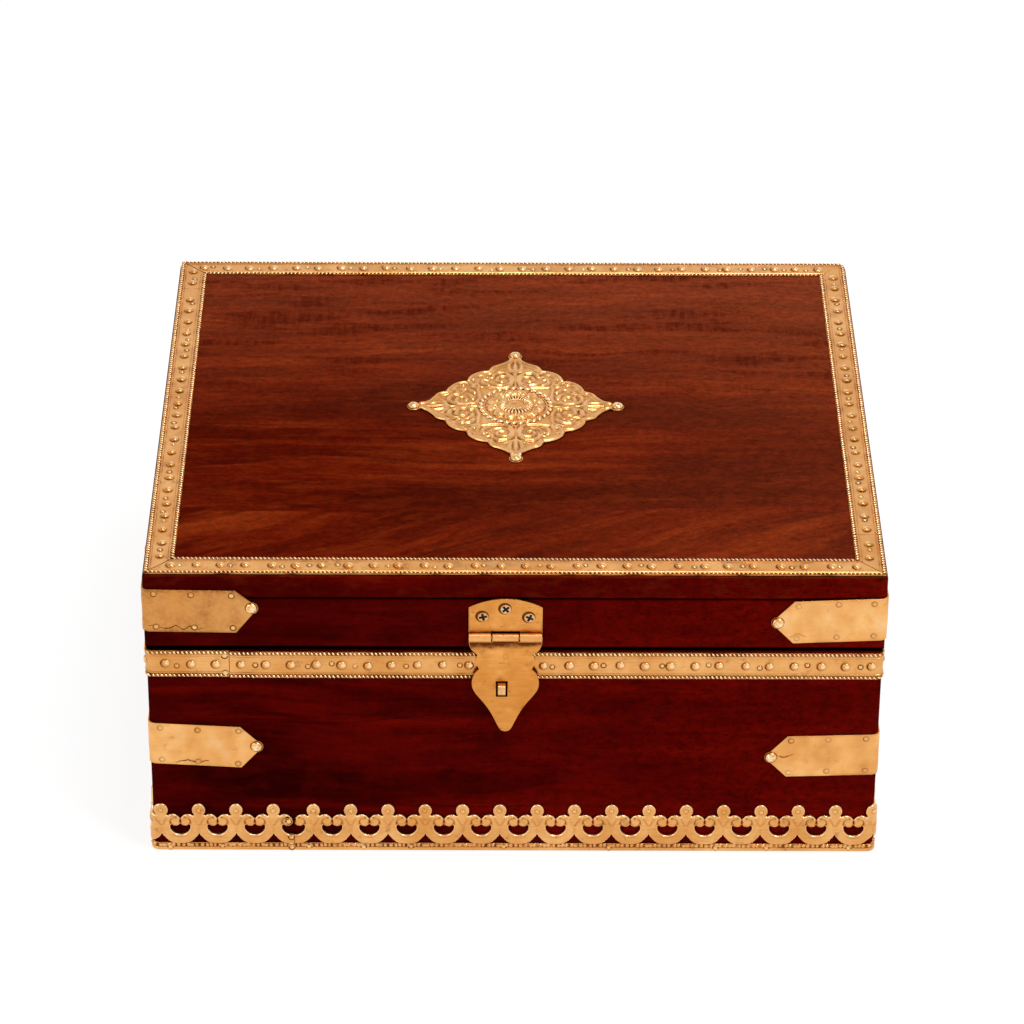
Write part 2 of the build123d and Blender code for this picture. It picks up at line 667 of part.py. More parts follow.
CROSS_LONG, CROSS_WIDE, CROSS_DEEP = 3.0, 0.7, 0.8
cross_arm = Box(CROSS_LONG, CROSS_WIDE, 2 * CROSS_DEEP)
SCREW_PROUD = 0.2
hasp_screw = countersunk_screw(head_r=2.85, head_high=1.6, shank_r=1.3, length=10.0, sides=12)
screw_places = [
    Pos(x, LEAF_FACE_Y - SCREW_PROUD, z) * Rot(90, 0, 0) * Rot(0, 0, turn)
    for x, z, turn in HASP_SCREWS
]
nodes["hasp_leaf"] = hasp_leaf() - [place * hasp_screw for place in screw_places]
hasp_screw -= cross_arm + Rot(0, 0, 90) * cross_arm
nodes["hasp_screws"] = Compound([place * hasp_screw for place in screw_places])
nodes["hasp_pin"] = hasp_rod(HASP_PIN_R, whole_hasp)
nodes["hasp_plate"] = hasp_plate()

STAPLE_X = (-8.6, -4.7)
STAPLE_Z = (102.4, 108.6)
STAPLE_THICK = 1.1
STAPLE_NOSE_Y = -176.3
CLINCH = 6.5             # length of each leg that is bent over on the inside of the board


def staple():
    """A strap of metal bent to a round nose, with both legs through the board and clinched inside it."""
    nose_r = (STAPLE_Z[1] - STAPLE_Z[0]) / 2
    middle = (STAPLE_NOSE_Y + nose_r, sum(STAPLE_Z) / 2)
    inside_y = Y_BASE[0] + BOARD
    loop = Pos(*middle) * (Circle(nose_r) - Circle(nose_r - STAPLE_THICK))
    loop &= area(
        (STAPLE_NOSE_Y, STAPLE_Z[0]),
        (middle[0], STAPLE_Z[0]),
        (middle[0], STAPLE_Z[1]),
        (STAPLE_NOSE_Y, STAPLE_Z[1]),
    )
    for side in (-1, 1):
        outer_z = middle[1] + side * nose_r
        inner_z = outer_z - side * STAPLE_THICK
        end_z = outer_z + side * CLINCH
        loop += area(
            (middle[0], inner_z),
            (inside_y + STAPLE_THICK, inner_z),
            (inside_y + STAPLE_THICK, end_z),
            (inside_y, end_z),
            (inside_y, outer_z),
            (middle[0], outer_z),
        )
    return prism_yz(loop, STAPLE_X)


nodes["staple"] = staple()
nodes["base_front_board"] -= nodes["staple"]


os.makedirs("parts", exist_ok=True)
for name, piece in nodes.items():
    export_step(piece, f"parts/{name}.step")
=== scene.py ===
import json
import math
import random

import bmesh
import bpy
import numpy as np
from mathutils import Matrix, Vector, noise
from mathutils.geometry import delaunay_2d_cdt

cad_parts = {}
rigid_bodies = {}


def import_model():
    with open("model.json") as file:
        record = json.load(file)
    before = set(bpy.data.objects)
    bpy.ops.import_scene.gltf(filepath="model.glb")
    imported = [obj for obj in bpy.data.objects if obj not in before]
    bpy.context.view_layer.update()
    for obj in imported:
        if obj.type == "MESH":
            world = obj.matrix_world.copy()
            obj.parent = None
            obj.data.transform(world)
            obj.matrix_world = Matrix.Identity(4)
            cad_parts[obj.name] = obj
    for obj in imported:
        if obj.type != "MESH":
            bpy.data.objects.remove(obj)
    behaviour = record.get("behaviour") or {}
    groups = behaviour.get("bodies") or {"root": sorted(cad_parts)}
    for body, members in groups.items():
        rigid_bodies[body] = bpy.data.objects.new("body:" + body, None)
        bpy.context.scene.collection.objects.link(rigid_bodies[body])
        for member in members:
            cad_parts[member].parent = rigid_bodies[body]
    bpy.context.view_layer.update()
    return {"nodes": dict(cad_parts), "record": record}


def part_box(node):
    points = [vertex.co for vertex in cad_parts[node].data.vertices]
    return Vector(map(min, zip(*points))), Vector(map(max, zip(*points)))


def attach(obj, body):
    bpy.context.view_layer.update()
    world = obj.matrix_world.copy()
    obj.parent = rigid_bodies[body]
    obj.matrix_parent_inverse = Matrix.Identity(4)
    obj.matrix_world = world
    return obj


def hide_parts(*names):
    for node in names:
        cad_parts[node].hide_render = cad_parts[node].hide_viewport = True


# Looks of a brass-bound wooden dowry box: lacquered mahogany, embossed brass strips with rope
# edges and domes, a pierced brass gallery, a foliage medallion, plain straps, and a hasp and staple.
# Shapes are built in millimetres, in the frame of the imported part, and stored in metres.

for stray in list(bpy.data.objects):
    bpy.data.objects.remove(stray)
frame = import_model()
MM = 0.001


def limits(*nodes):
    """The box of some CAD nodes together, in millimetres: its limits on X, Y and Z."""
    boxes = [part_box(node) for node in nodes]
    lows = [min(low[axis] for low, high in boxes) / MM for axis in range(3)]
    highs = [max(high[axis] for low, high in boxes) / MM for axis in range(3)]
    return list(zip(lows, highs))


SIDE_NAMES = ("front", "back", "left", "right")
X_BASE, Y_BASE, Z_BASE = limits(*[f"base_{side}_board" for side in SIDE_NAMES])
X_LID, Y_LID, Z_TOP_BOARD = limits("lid_top_board")
Z_RAILS = limits("lid_front_rail")[2]
LID_TOP = Z_TOP_BOARD[1]
CORNER_R = 3.0
LIT_FROM = math.radians(50)  # the side that a round head's painted highlight is on, from its right
WELD = 0.004                 # points closer than this become one where units of the gallery meet
MARK_STEP = 0.7             # between the points that carry a plate's stains and painted shade
FAR_AWAY = 99.0
NO_SHEET = -1.5              # how low an opening counts where hollows are looked for


# ---------------------------------------------------------------- shapes in millimetres
def solid_of(points, faces):
    """A bmesh of points and the faces between them."""
    solid = bmesh.new()
    verts = [solid.verts.new(point) for point in points]
    for face in faces:
        solid.faces.new([verts[index] for index in face])
    return solid


def split_across(solid, at, **cleared):
    everything = solid.verts[:] + solid.edges[:] + solid.faces[:]
    bmesh.ops.bisect_plane(solid, geom=everything, plane_co=(at, 0, 0), plane_no=(1, 0, 0), **cleared)


class Shape:
    """A mesh being built, with a mark on each point: 0 to 1 is tarnished, soiled and in painted shade, and 0
    to -1 is rubbed bright and painted highlight. Flat shapes use (along, up, out) until bend() carries them
    to their place."""

    def __init__(self):
        self.points, self.faces, self.dirt_and_painted_light = [], [], []

    def add(self, points, faces, dirt_and_painted_light=0.0):
        first, points = len(self.points), [tuple(point) for point in points]
        self.points += points
        self.dirt_and_painted_light += [dirt_and_painted_light] * len(points) if isinstance(dirt_and_painted_light, (int, float)) else [float(one) for one in dirt_and_painted_light]
        self.faces += [[first + index for index in face] for face in faces]

    def grid(self, rows, closed=False, dirt_and_painted_light=0.0, ends=None):
        """Quads between rows of points; closed also joins the two ends of each row. The mark of soiling and
        painted light is one value, or one for each row, or one for each point of a row. ends is the mark of
        faces that close both ends."""
        wide, faces = len(rows[0]), []
        for first in range(0, wide * (len(rows) - 1), wide):
            for step in range(wide if closed else wide - 1):
                beside = (step + 1) % wide
                faces.append((first + step, first + beside, first + wide + beside, first + wide + step))
        if not isinstance(dirt_and_painted_light, (int, float)):
            dirt_and_painted_light = [one for row in dirt_and_painted_light for one in ([row] * wide if isinstance(row, (int, float)) else row)]
        self.add([point for row in rows for point in row], faces, dirt_and_painted_light)
        if ends is not None:
            for row in (rows[0], rows[-1]):
                self.add(row, [range(wide)], ends)

    def bend(self, place, cuts=(), between=None, weld=False):
        """Trims the flat shape to a stretch, cuts it across where it will bend, and puts it in place."""
        solid = solid_of(self.points, self.faces)
        layer = solid.verts.layers.float.new("tarnish_and_painted_light")
        for vert, dirt_and_painted_light in zip(solid.verts, self.dirt_and_painted_light):
            vert[layer] = dirt_and_painted_light
        if weld:
            bmesh.ops.remove_doubles(solid, verts=solid.verts, dist=WELD)
        if between:
            split_across(solid, between[0], clear_inner=True)
            split_across(solid, between[1], clear_outer=True)
        for at in cuts:
            split_across(solid, at)
        solid.verts.index_update()
        self.points = [place(*vert.co) for vert in solid.verts]
        self.dirt_and_painted_light = [vert[layer] for vert in solid.verts]
        self.faces = [[vert.index for vert in face.verts] for face in solid.faces]
        solid.free()

    def finish(self, name, body, slot, replaced=(), sharp=40, look=None):
        """The finished piece, riding on its body. look is its material where that isn't its slot's own."""
        mesh = bpy.data.meshes.new(name)
        mesh.from_pydata([[size * MM for size in point] for point in self.points], [], self.faces)
        mesh.attributes.new("tarnish_and_painted_light", "FLOAT", "POINT").data.foreach_set("value", self.dirt_and_painted_light)
        solid = bmesh.new()
        solid.from_mesh(mesh)
        bmesh.ops.recalc_face_normals(solid, faces=solid.faces)
        solid.to_mesh(mesh)
        solid.free()
        mesh.shade_smooth()
        mesh.set_sharp_from_angle(angle=math.radians(sharp))
        mesh.materials.append(MATERIALS[look or slot])
        piece = linked(name, mesh)
        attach(piece, body)
        if replaced:
            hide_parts(*replaced)


def linked(name, data):
    """A new object in the scene."""
    piece = bpy.data.objects.new(name, data)
    bpy.context.scene.collection.objects.link(piece)
    return piece


def away_from(x, y, line, half=1.0):
    """How far places are from a line of points, over its half-width. With no half, that is each point's
    third value."""
    nearest = np.full(np.shape(x), FAR_AWAY)
    for a, b in zip(line, line[1:]):
        wide_a, wide_b = (half, half) if half else (a[2], b[2])
        run = (b[0] - a[0], b[1] - a[1])
        length = run[0] ** 2 + run[1] ** 2 or 1e-9
        t = np.clip(((x - a[0]) * run[0] + (y - a[1]) * run[1]) / length, 0, 1)
        away = np.hypot(x - a[0] - t * run[0], y - a[1] - t * run[1])
        nearest = np.minimum(nearest, away / (wide_a + (wide_b - wide_a) * t))
    return nearest


class Relief:
    """Heights over a flat area, raised by lines, knobs and rings on a raster."""

    def __init__(self, x, y, step):
        self.low, self.step = (x[0], y[0]), step
        self.px, self.py = np.meshgrid(np.arange(x[0], x[1] + step, step), np.arange(y[0], y[1] + step, step))
        self.high = np.zeros_like(self.px)

    def raise_by(self, part, high, power=0.6):
        """Raises what lies within part = 1 of a middle, with a rounded section."""
        self.high = np.maximum(self.high, high * np.clip(1 - part**2, 0, 1) ** power)

    def line(self, points, high, half=None, power=0.6):
        """A raised line through points, with its half-width as their third value if half isn't given."""
        self.raise_by(away_from(self.px, self.py, points, half), high, power)

    def groove(self, points, deep, half):
        """A crease along a line of (x, y) points."""
        part = away_from(self.px, self.py, points, half)
        self.high = self.high - deep * np.clip(1 - part**2, 0, 1) ** 0.8

    def leaf(self, points, half, high, start=0.3):
        """A line that swells and comes to a point."""
        line = smooth(points, 4)
        last = len(line) - 1
        swell = [math.sin(math.pi * (start + (1 - start) * step / last)) for step in range(last + 1)]
        self.line([(*point[:2], max(half * wide, 0.12)) for point, wide in zip(line, swell)], high, power=0.8)

    def knob(self, x, y, radius, high, power=0.6):
        self.raise_by(np.hypot(self.px - x, self.py - y) / radius, high, power)

    def ring(self, radius, half, high):
        """A raised ring round the origin."""
        self.raise_by(np.abs(np.hypot(self.px, self.py) - radius) / half, high)

    def soften(self, reach):
        """Rounds the relief off over a distance."""
        count = int(3 * reach / self.step) + 1
        weight = np.exp(-0.5 * (np.arange(-count, count + 1) * self.step / reach) ** 2)
        for axis in (0, 1):
            spread = [(count, count) if axis == one else (0, 0) for one in (0, 1)]
            padded = np.pad(self.high, spread, mode="edge")
            self.high = np.apply_along_axis(np.convolve, axis, padded, weight / weight.sum(), "valid")

    def hollows(self, reach, gain, off=None, ridges=0.6):
        """How far each place lies below its neighbours, up to 1, or above them, down to -ridges.
        off marks where there is no sheet."""
        steps = max(1, round(reach / self.step))
        around = np.zeros_like(self.high)
        solid = self.high if off is None else np.where(off, NO_SHEET, self.high)
        rows, columns = np.indices(self.high.shape)
        for up, across in ((0, 1), (0, -1), (1, 0), (-1, 0), (1, 1), (1, -1), (-1, 1), (-1, -1)):
            beside = np.clip(rows + up * steps, 0, self.high.shape[0] - 1)
            around += solid[beside, np.clip(columns + across * steps, 0, self.high.shape[1] - 1)] / 8
        return np.clip((around - self.high) * gain, -ridges, 1)

    def read(self, raster, x, y):
        """A raster's value at places between its points."""
        u = np.clip((np.asarray(x) - self.low[0]) / self.step, 0, raster.shape[1] - 1.001)
        v = np.clip((np.asarray(y) - self.low[1]) / self.step, 0, raster.shape[0] - 1.001)
        i, j = u.astype(int), v.astype(int)
        u, v = u - i, v - j
        low = raster[j, i] * (1 - u) + raster[j, i + 1] * u
        return low * (1 - v) + (raster[j + 1, i] * (1 - u) + raster[j + 1, i + 1] * u) * v


class Wall:
    """The outside of a box with rounded corners, opened out flat: along, counted to the right from the
    middle of the front, up, and out from the wood."""

    def __init__(self, x, y):
        self.middle = (sum(x) / 2, sum(y) / 2)
        self.half = ((x[1] - x[0]) / 2, (y[1] - y[0]) / 2)
        self.flat = [2 * (size - CORNER_R) for size in self.half]
        self.arc = CORNER_R * math.pi / 2
        self.girth = 2 * sum(self.flat) + 4 * self.arc

    def corner(self, turn):
        """Where along the wall the middle of a corner is: 0 front right, 1 back right, -1 front left."""
        step = (self.flat[0] + self.flat[1]) / 2 + self.arc
        return self.flat[0] / 2 + self.arc / 2 + turn * step if turn >= 0 else -self.corner(-1 - turn)

    def at_back(self, x):
        """Where along the wall a place on its back is, from its X."""
        return 2 * (sum(self.flat) / 2 + self.arc) - x

    def cuts(self, low, high):
        """Where a stretch of wall has to be cut so that it can follow the corners."""
        places = []
        for lap in (-1, 0, 1):
            start = -self.flat[0] / 2 + lap * self.girth
            for turn in range(4):
                start += self.flat[turn % 2]
                places += [start + self.arc * step / 4 for step in range(5)]
                start += self.arc
        return [place for place in places if low < place < high]

    def __call__(self, along, up, out):
        rest = (along + self.flat[0] / 2) % self.girth
        for turn in range(4):
            length, depth = self.flat[turn % 2], self.half[(turn + 1) % 2]
            if rest <= length:
                x, y = rest - length / 2, -depth - out
                break
            rest -= length
            if rest <= self.arc:
                angle, reach = rest / CORNER_R, CORNER_R + out
                x, y = length / 2 + reach * math.sin(angle), CORNER_R - depth - reach * math.cos(angle)
                break
            rest -= self.arc
        for _ in range(turn):
            x, y = -y, x
        return (x + self.middle[0], y + self.middle[1], up)


BASE_WALL = Wall(X_BASE, Y_BASE)
LID_WALL = Wall(X_LID, Y_LID)


def smooth(points, per=5):
    """A smooth line through points, with a few steps between each two. Values after X, Y follow along."""
    line, last = [], len(points) - 1
    for index in range(last):
        around = [points[min(max(index + step, 0), last)] for step in (-1, 0, 1, 2)]
        for t in (step / per for step in range(per)):
            spot = []
            for p, q, r, s in zip(*around):
                bend = (2 * p - 5 * q + 4 * r - s) * t * t + (3 * q - p - 3 * r + s) * t**3
                spot.append(0.5 * (2 * q + (r - p) * t + bend))
            line.append(tuple(spot))
    return line + [tuple(points[-1])]


def rectangle(x, y):
    return [(x[0], y[0]), (x[1], y[0]), (x[1], y[1]), (x[0], y[1])]


def round_angles(sides):
    return [math.tau * side / sides for side in range(sides)]


def circle(x, z, radius, sides=28):
    return [(x + radius * math.cos(angle), z + radius * math.sin(angle)) for angle in round_angles(sides)]


def dome(shape, at, radius, high, sides=12, rings=3, flat=0.0, grime_and_shade=0.0, shine=0.3, lean=0.0):
    """A round head on a flat ground at (along, up, out), tarnished and in painted shade round its foot, and
    rubbed bright with a painted highlight on top. lean 1 keeps the painted shade to its left and the
    highlight towards LIT_FROM."""
    rows, dirt_and_painted_light = [], []
    for ring in range(rings + 1):
        lift = math.pi / 2 * ring / (rings + 0.35 + flat)
        wide, out = radius * math.cos(lift), at[2] + high * math.sin(lift)
        rows.append([(*spot, out) for spot in circle(at[0], at[1], wide, sides)])
        marks = []
        for angle in round_angles(sides):
            foot = grime_and_shade * (1 - ring / rings) ** 1.3 * (1 - lean * (0.5 + 0.5 * math.cos(angle)))
            lit = (1 - lean * (0.5 - 0.5 * math.cos(angle - LIT_FROM))) ** 2
            marks.append(foot - shine * lit * (ring / rings) ** 0.7)
        dirt_and_painted_light.append(marks)
    shape.grid(rows, closed=True, dirt_and_painted_light=dirt_and_painted_light)
    shape.add(rows[-1], [range(sides)], -shine * (1 - 0.6 * lean))


def halo(shape, at, inner, outer, grime_and_shade, ground, sides=14, lean=0.0, around=0.0):
    """Soiling and painted shade on the ground round a head: a film just above it, which fades to the mark
    around.
    """
    rows, dirt_and_painted_light = [], []
    for radius, share in ((inner, 1.0), (inner + (outer - inner) * 0.45, 0.85), (outer, 0.0)):
        rise = 0.03 * (outer - radius) / (outer - inner)
        rows.append([(x, y, ground(x, y) + rise + 0.01) for x, y in circle(at[0], at[1], radius, sides)])
        left = [1 - lean * (0.5 + 0.5 * math.cos(angle)) for angle in round_angles(sides)]
        dirt_and_painted_light.append([around + grime_and_shade * share * part for part in left])
    shape.grid(rows, closed=True, dirt_and_painted_light=dirt_and_painted_light)


def strand(shape, at, run, slant, long, wide, high, grime_and_shade=1.0, shine=1.0):
    """One slanting strand of a rope edge, at (along, up, out) on a line that runs in some direction."""
    axis = Matrix.Rotation(slant, 2) @ Vector(run).normalized()
    side = Vector((-axis.y, axis.x))
    rows, dirt_and_painted_light = [], []
    for t in (-1.0, -0.7, 0.0, 0.7, 1.0):
        swell = math.sqrt(max(1 - t * t, 0.02))
        middle = Vector(at[:2]) + axis * (t * long / 2)
        row = []
        for turn in (0, 40, 90, 140, 180):
            across = side * (math.cos(math.radians(turn)) * wide / 2 * swell)
            row.append((*(middle + across), at[2] + high * swell * math.sin(math.radians(turn))))
        rows.append(row)
        # Its crest is rubbed bright, wear and painted highlight; its ends darken, soiling and painted shade
        # between strands.
        rubbed_and_highlit = -shine * (1 - abs(t)) ** 0.5
        dirt_and_painted_light.append([grime_and_shade] * 5 if abs(t) == 1 else [grime_and_shade, 0.4 * rubbed_and_highlit, rubbed_and_highlit, 0.4 * rubbed_and_highlit, grime_and_shade])
    shape.grid(rows, dirt_and_painted_light=dirt_and_painted_light)


def inset(loop, by):
    """A closed outline moved inwards, for a loop that runs anticlockwise; a clockwise one grows."""
    moved = []
    for index, point in enumerate(loop):
        before, after = Vector(loop[index - 1]), Vector(loop[(index + 1) % len(loop)])
        point = Vector(point)
        normals = []
        for run in (point - before, after - point):
            if run.length > 1e-9:
                run.normalize()
                normals.append(Vector((-run.y, run.x)))
        normal = sum(normals, Vector((0, 0))).normalized()
        reach = by / max(normal.dot(normals[0]), 0.5)
        moved.append(tuple(point + normal * reach))
    return moved


def inside(x, y, loops):
    """Which of many places lie inside the first outline and outside the others."""
    kept = np.ones(x.shape, bool)
    for number, loop in enumerate(loops):
        hit = np.zeros(x.shape, bool)
        for (x0, y0), (x1, y1) in zip(loop, loop[1:] + loop[:1]):
            if y0 != y1:
                hit ^= ((y0 > y) != (y1 > y)) & (x < x0 + (y - y0) * (x1 - x0) / (y1 - y0))
        kept &= ~hit if number else hit
    return kept


def turning(loop, way):
    """An outline that runs anticlockwise for way 1 and clockwise for way -1."""
    area = sum(a[0] * b[1] - b[0] * a[1] for a, b in zip(loop, loop[1:] + loop[:1]))
    return loop if area * way > 0 else loop[::-1]


def filled(loops, spots):
    """Triangles over what lies inside the first outline and outside the others, with corners at the spots
    too: all corners, and the faces."""
    points, edges = [], []
    for loop in loops:
        first = len(points)
        points += loop
        edges += [(first + step, first + (step + 1) % len(loop)) for step in range(len(loop))]
    verts, _, faces, *_ = delaunay_2d_cdt([Vector(point) for point in [*points, *spots]], edges, [], 1, 1e-6)
    middles = [sum((verts[index] for index in face), Vector((0, 0))) / len(face) for face in faces]
    kept = inside(*np.array(middles).T, loops)
    return [tuple(vert) for vert in verts], [face for face, keep in zip(faces, kept) if keep]


def plate(shape, outer, holes, low, high, edge, stain_and_shade=None):
    """A flat plate with softened edges, from a closed outline and its openings. Its last argument gives the
    mark
    at a place: stains, and on the hasp also painted shade by the knuckles."""
    loops = [turning(outer, 1)] + [turning(hole, -1) for hole in holes]
    tops = [inset(loop, edge) for loop in loops]
    soft = edge * 0.3
    for loop, top in zip(loops, tops):
        steps = ((loop, low), (loop, high - edge), (inset(loop, soft), high - soft), (top, high))
        rows = [[(*point, out) for point in line] for line, out in steps]
        shape.grid(rows, closed=True, dirt_and_painted_light=[0.9, 0.35, 0.05, 0.0] if stain_and_shade else 0.0)
    spots = []
    if stain_and_shade:
        x, z = np.meshgrid(*[np.arange(min(line), max(line), MARK_STEP) for line in zip(*tops[0])])
        x, z = x.ravel(), z.ravel()
        rim = np.min([away_from(x, z, top + top[:1]) for top in tops], axis=0)
        kept = inside(x, z, tops) & (rim > MARK_STEP / 3)
        spots = zip(x[kept].tolist(), z[kept].tolist())
    verts, faces = filled(tops, spots)
    shape.add([(*vert, high) for vert in verts], faces, [stain_and_shade(*vert) for vert in verts] if stain_and_shade else 0.0)


# ---------------------------------------------------------------- materials
def linear(*colour):
    """A colour given as 0 to 255 on screen, as Blender's shaders take it."""
    return (*[(c / 255 / 12.92) if c < 10 else ((c / 255 + 0.055) / 1.055) ** 2.4 for c in colour], 1)


class Nodes:
    """The node tree of a material or a world, filled by short calls."""

    def __init__(self, name, kind="materials"):
        self.owner = getattr(bpy.data, kind).new(name)
        self.owner.use_nodes = True
        self.tree = self.owner.node_tree
        self.shader = self.tree.nodes["Principled BSDF" if kind == "materials" else "Background"]
        self.coordinates = self.add("TexCoord").outputs
        self.place, self.normal = self.coordinates["Object"], self.coordinates["Normal"]

    def add(self, kind, settings=None, **inputs):
        node = self.tree.nodes.new("ShaderNode" + kind)
        for key, value in (settings or {}).items():
            setattr(node, key, value)
        for key, value in inputs.items():
            self.put(node.inputs[key.replace("_", " ")], value)
        return node

    def put(self, socket, value):
        if isinstance(value, bpy.types.NodeSocket):
            self.tree.links.new(value, socket)
        else:
            socket.default_value = value

    def surface(self, **inputs):
        """Sets the shader's own sockets, and gives what the tree belongs to."""
        for key, value in inputs.items():
            self.put(self.shader.inputs[key.replace("_", " ")], value)
        return self.owner

    def mapped(self, vector, scale, shift=0.0, turn=(0, 0, 0)):
        node = self.add("Mapping", Vector=vector, Scale=scale, Rotation=turn, Location=(shift,) * 3)
        return node.outputs["Vector"]

    def noise(self, scale, shift=0.0, detail=3.0, rough=0.55, turn=(0, 0, 0), place=None, output="Fac"):
        """Clouds at a scale for each axis, per metre."""
        vector = self.mapped(place or self.place, scale, shift, turn)
        return self.add("TexNoise", Vector=vector, Scale=1.0, Detail=detail, Roughness=rough).outputs[output]

    def parts(self, vector):
        return self.add("SeparateXYZ", Vector=vector).outputs

    def span(self, value, low, high, top=1.0, bottom=0.0):
        """A value between low and high, carried to between bottom and top."""
        node = self.add("MapRange", Value=value, From_Min=low, From_Max=high, To_Min=bottom, To_Max=top)
        return node.outputs[0]

    def ramp(self, value, *stops):
        """Stops are (place, colour or grey)."""
        node = self.add("ValToRGB", Fac=value)
        band = node.color_ramp
        while len(band.elements) < len(stops):
            band.elements.new(0.5)
        for element, (at, colour) in zip(band.elements, stops):
            element.position = at
            element.color = colour if isinstance(colour, tuple) else (colour, colour, colour, 1)
        return node.outputs["Color"]

    def fade(self, value, low, high, first, second):
        """A mix whose share follows a value, through two ramp stops of (place, share)."""
        return self.mix(self.ramp(value, low, high), first, second)

    def mix(self, factor, first, second, how="MIX"):
        node = self.add("Mix", {"data_type": "RGBA", "blend_type": how})
        for key, value in (("Factor", factor), (6, first), (7, second)):
            self.put(node.inputs[key], value)
        return node.outputs[2]

    def maths(self, how, first, second=0.0, kind="Math"):
        node = self.add(kind, {"operation": how})
        self.put(node.inputs[0], first)
        self.put(node.inputs[1], second)
        return node.outputs["Value" if how == "DOT_PRODUCT" else 0]

    def bump(self, height, strength, distance, **base):
        return self.add("Bump", Height=height, Strength=strength, Distance=distance, **base).outputs["Normal"]

    def nearness(self, distance):
        """How open the surroundings of a place are, within a distance."""
        return self.add("AmbientOcclusion", {"samples": 6}, Distance=distance).outputs["AO"]


def wood(name, grain, top=None):
    """Lacquered mahogany with its grain along axis 0 (X) or 1 (Y). top is the three tones of its upper face,
    which is two planks, and the front one's grain slants; they are lighter than the sides' partly as painted
    light from above, and a painted sheen lightens that face towards its back and right. Gaps and the outside
    of the seam of lid and base are painted near-black as shade."""
    n = Nodes(name)
    right, back, up = n.parts(n.place)

    def along(run, across):
        return tuple(run if axis == grain else across for axis in range(3))

    wander = n.noise(along(5, 12), detail=2.0, rough=0.5, output="Color")
    warped = n.maths("ADD", n.place, n.maths("MULTIPLY", wander, (0.03,) * 3, "VectorMath"), "VectorMath")

    def bands(place, tones, shift=0.0):
        def band(run, across, detail, rough, move=0.0):
            return n.noise(along(run, across), move + shift, detail, rough, place=place)

        colour = n.ramp(band(3, 20, 4, 0.65), (0.38, tones[0]), (0.52, tones[1]), (0.67, tones[2]))
        veins = band(7, 80, 5, 0.7, 3.0)
        colour = n.fade(veins, (0.49, 0.0), (0.63, 0.85), colour, tones[0])
        colour = n.fade(veins, (0.34, 0.55), (0.47, 0.0), colour, tones[2])
        lines = band(2.2, 24, 2, 0.5, 9.0)
        return n.mix(n.ramp(lines, (0.486, 0.0), (0.50, 0.60), (0.514, 0.0)), colour, tones[0])

    fleck = n.noise(along(200, 290), 5, 5, 0.95)

    def flecked(colour, gain):
        factor = n.maths("ADD", n.maths("MULTIPLY", n.maths("SUBTRACT", 0.5, fleck), gain), 1.0)
        return n.mix(1.0, colour, factor, "MULTIPLY")

    colour = bands(warped, (DARK_RED, RED, CLEAR_RED))
    clouds = n.noise(along(14, 22), 31, 4, 0.6)
    colour = n.fade(clouds, (0.48, 0.0), (0.66, 0.42), colour, CLEAR_RED)
    lighter = n.maths("ADD", n.span(right, -0.12, 0.19, 0.45), n.span(up, 0.12, 0.15, 0.19))
    colour = flecked(n.mix(lighter, colour, CLEAR_RED), n.span(right, -0.12, 0.10, 3.6, 1.3))
    if top:
        slanting = n.mapped(warped, (1, 1, 1), turn=(0, 0, SWIRL_TURN))
        in_front = n.span(n.parts(warped)["Y"], SWIRL_Y, SWIRL_Y - 0.0015)
        upper = n.mix(in_front, bands(warped, top, 8.0), bands(slanting, top, 21.0))
        # Painted sheen: the upper face lightens towards its back and right, standing in for the lacquer's
        # reflection.
        lighter = n.maths("ADD", n.span(back, -0.03, 0.15, 0.31), n.span(right, -0.10, 0.19, 0.16))
        upper = n.mix(lighter, upper, PAINTED_SHEEN)
        curl = n.ramp(n.noise(along(380, 60), 11, 3, 0.6), (0.42, FIGURE * 0.4), (0.60, FIGURE))
        streaks = n.ramp(n.noise(along(15, 85), 17, 3, 0.6), (0.50, 0.0), (0.62, 1.0))
        curled = n.maths("MULTIPLY", n.maths("MULTIPLY", curl, streaks), n.span(back, -0.02, 0.05))
        upper = flecked(n.mix(curled, upper, top[0]), 2.6)
        # Faces that point up take the top tones, lighter than the sides' partly as painted light from above.
        colour = n.mix(n.span(n.parts(n.normal)["Z"], 0.45, 0.75), colour, upper)
    mottle = n.noise(along(60, 130), 23, 4, 0.65)
    colour = n.fade(mottle, (0.35, 0.22), (0.50, 0.0), colour, top[2] if top else CLEAR_RED)
    pores = n.noise(along(150, 2600), 7, 2, 0.6)
    colour = n.fade(pores, (0.58, 0.0), (0.72, 0.50), colour, PORE)
    # Painted shade: near-black where other surfaces lie within 4 mm, in gaps and beside the brass.
    colour = n.fade(n.nearness(0.004), (0.25, 1.0), (0.70, 0.0), colour, PAINTED_SHADE)
    # Painted shadow: a near-black band along the seam of lid and base, full within 1 mm and gone at 2 mm, on
    # outward faces.
    off_seam = n.maths("ABSOLUTE", n.maths("SUBTRACT", up, (Z_RAILS[0] + Z_BASE[1]) / 2 * MM))
    level = n.maths("MULTIPLY", n.normal, (1, 1, 0), "VectorMath")
    outside = n.span(n.maths("DOT_PRODUCT", level, n.place, "VectorMath"), 0.02, 0.05)
    colour = n.mix(n.maths("MULTIPLY", n.span(off_seam, 0.0020, 0.0010), outside), colour, PAINTED_SHADE)
    return n.surface(
        Base_Color=colour,
        Roughness=n.ramp(mottle, (0.3, 0.30), (0.7, 0.42)),
        Normal=n.bump(pores, 0.08, 0.0002),
        Specular_IOR_Level=0.0,
        Coat_Weight=0.012,
        Coat_Roughness=0.15,
    )


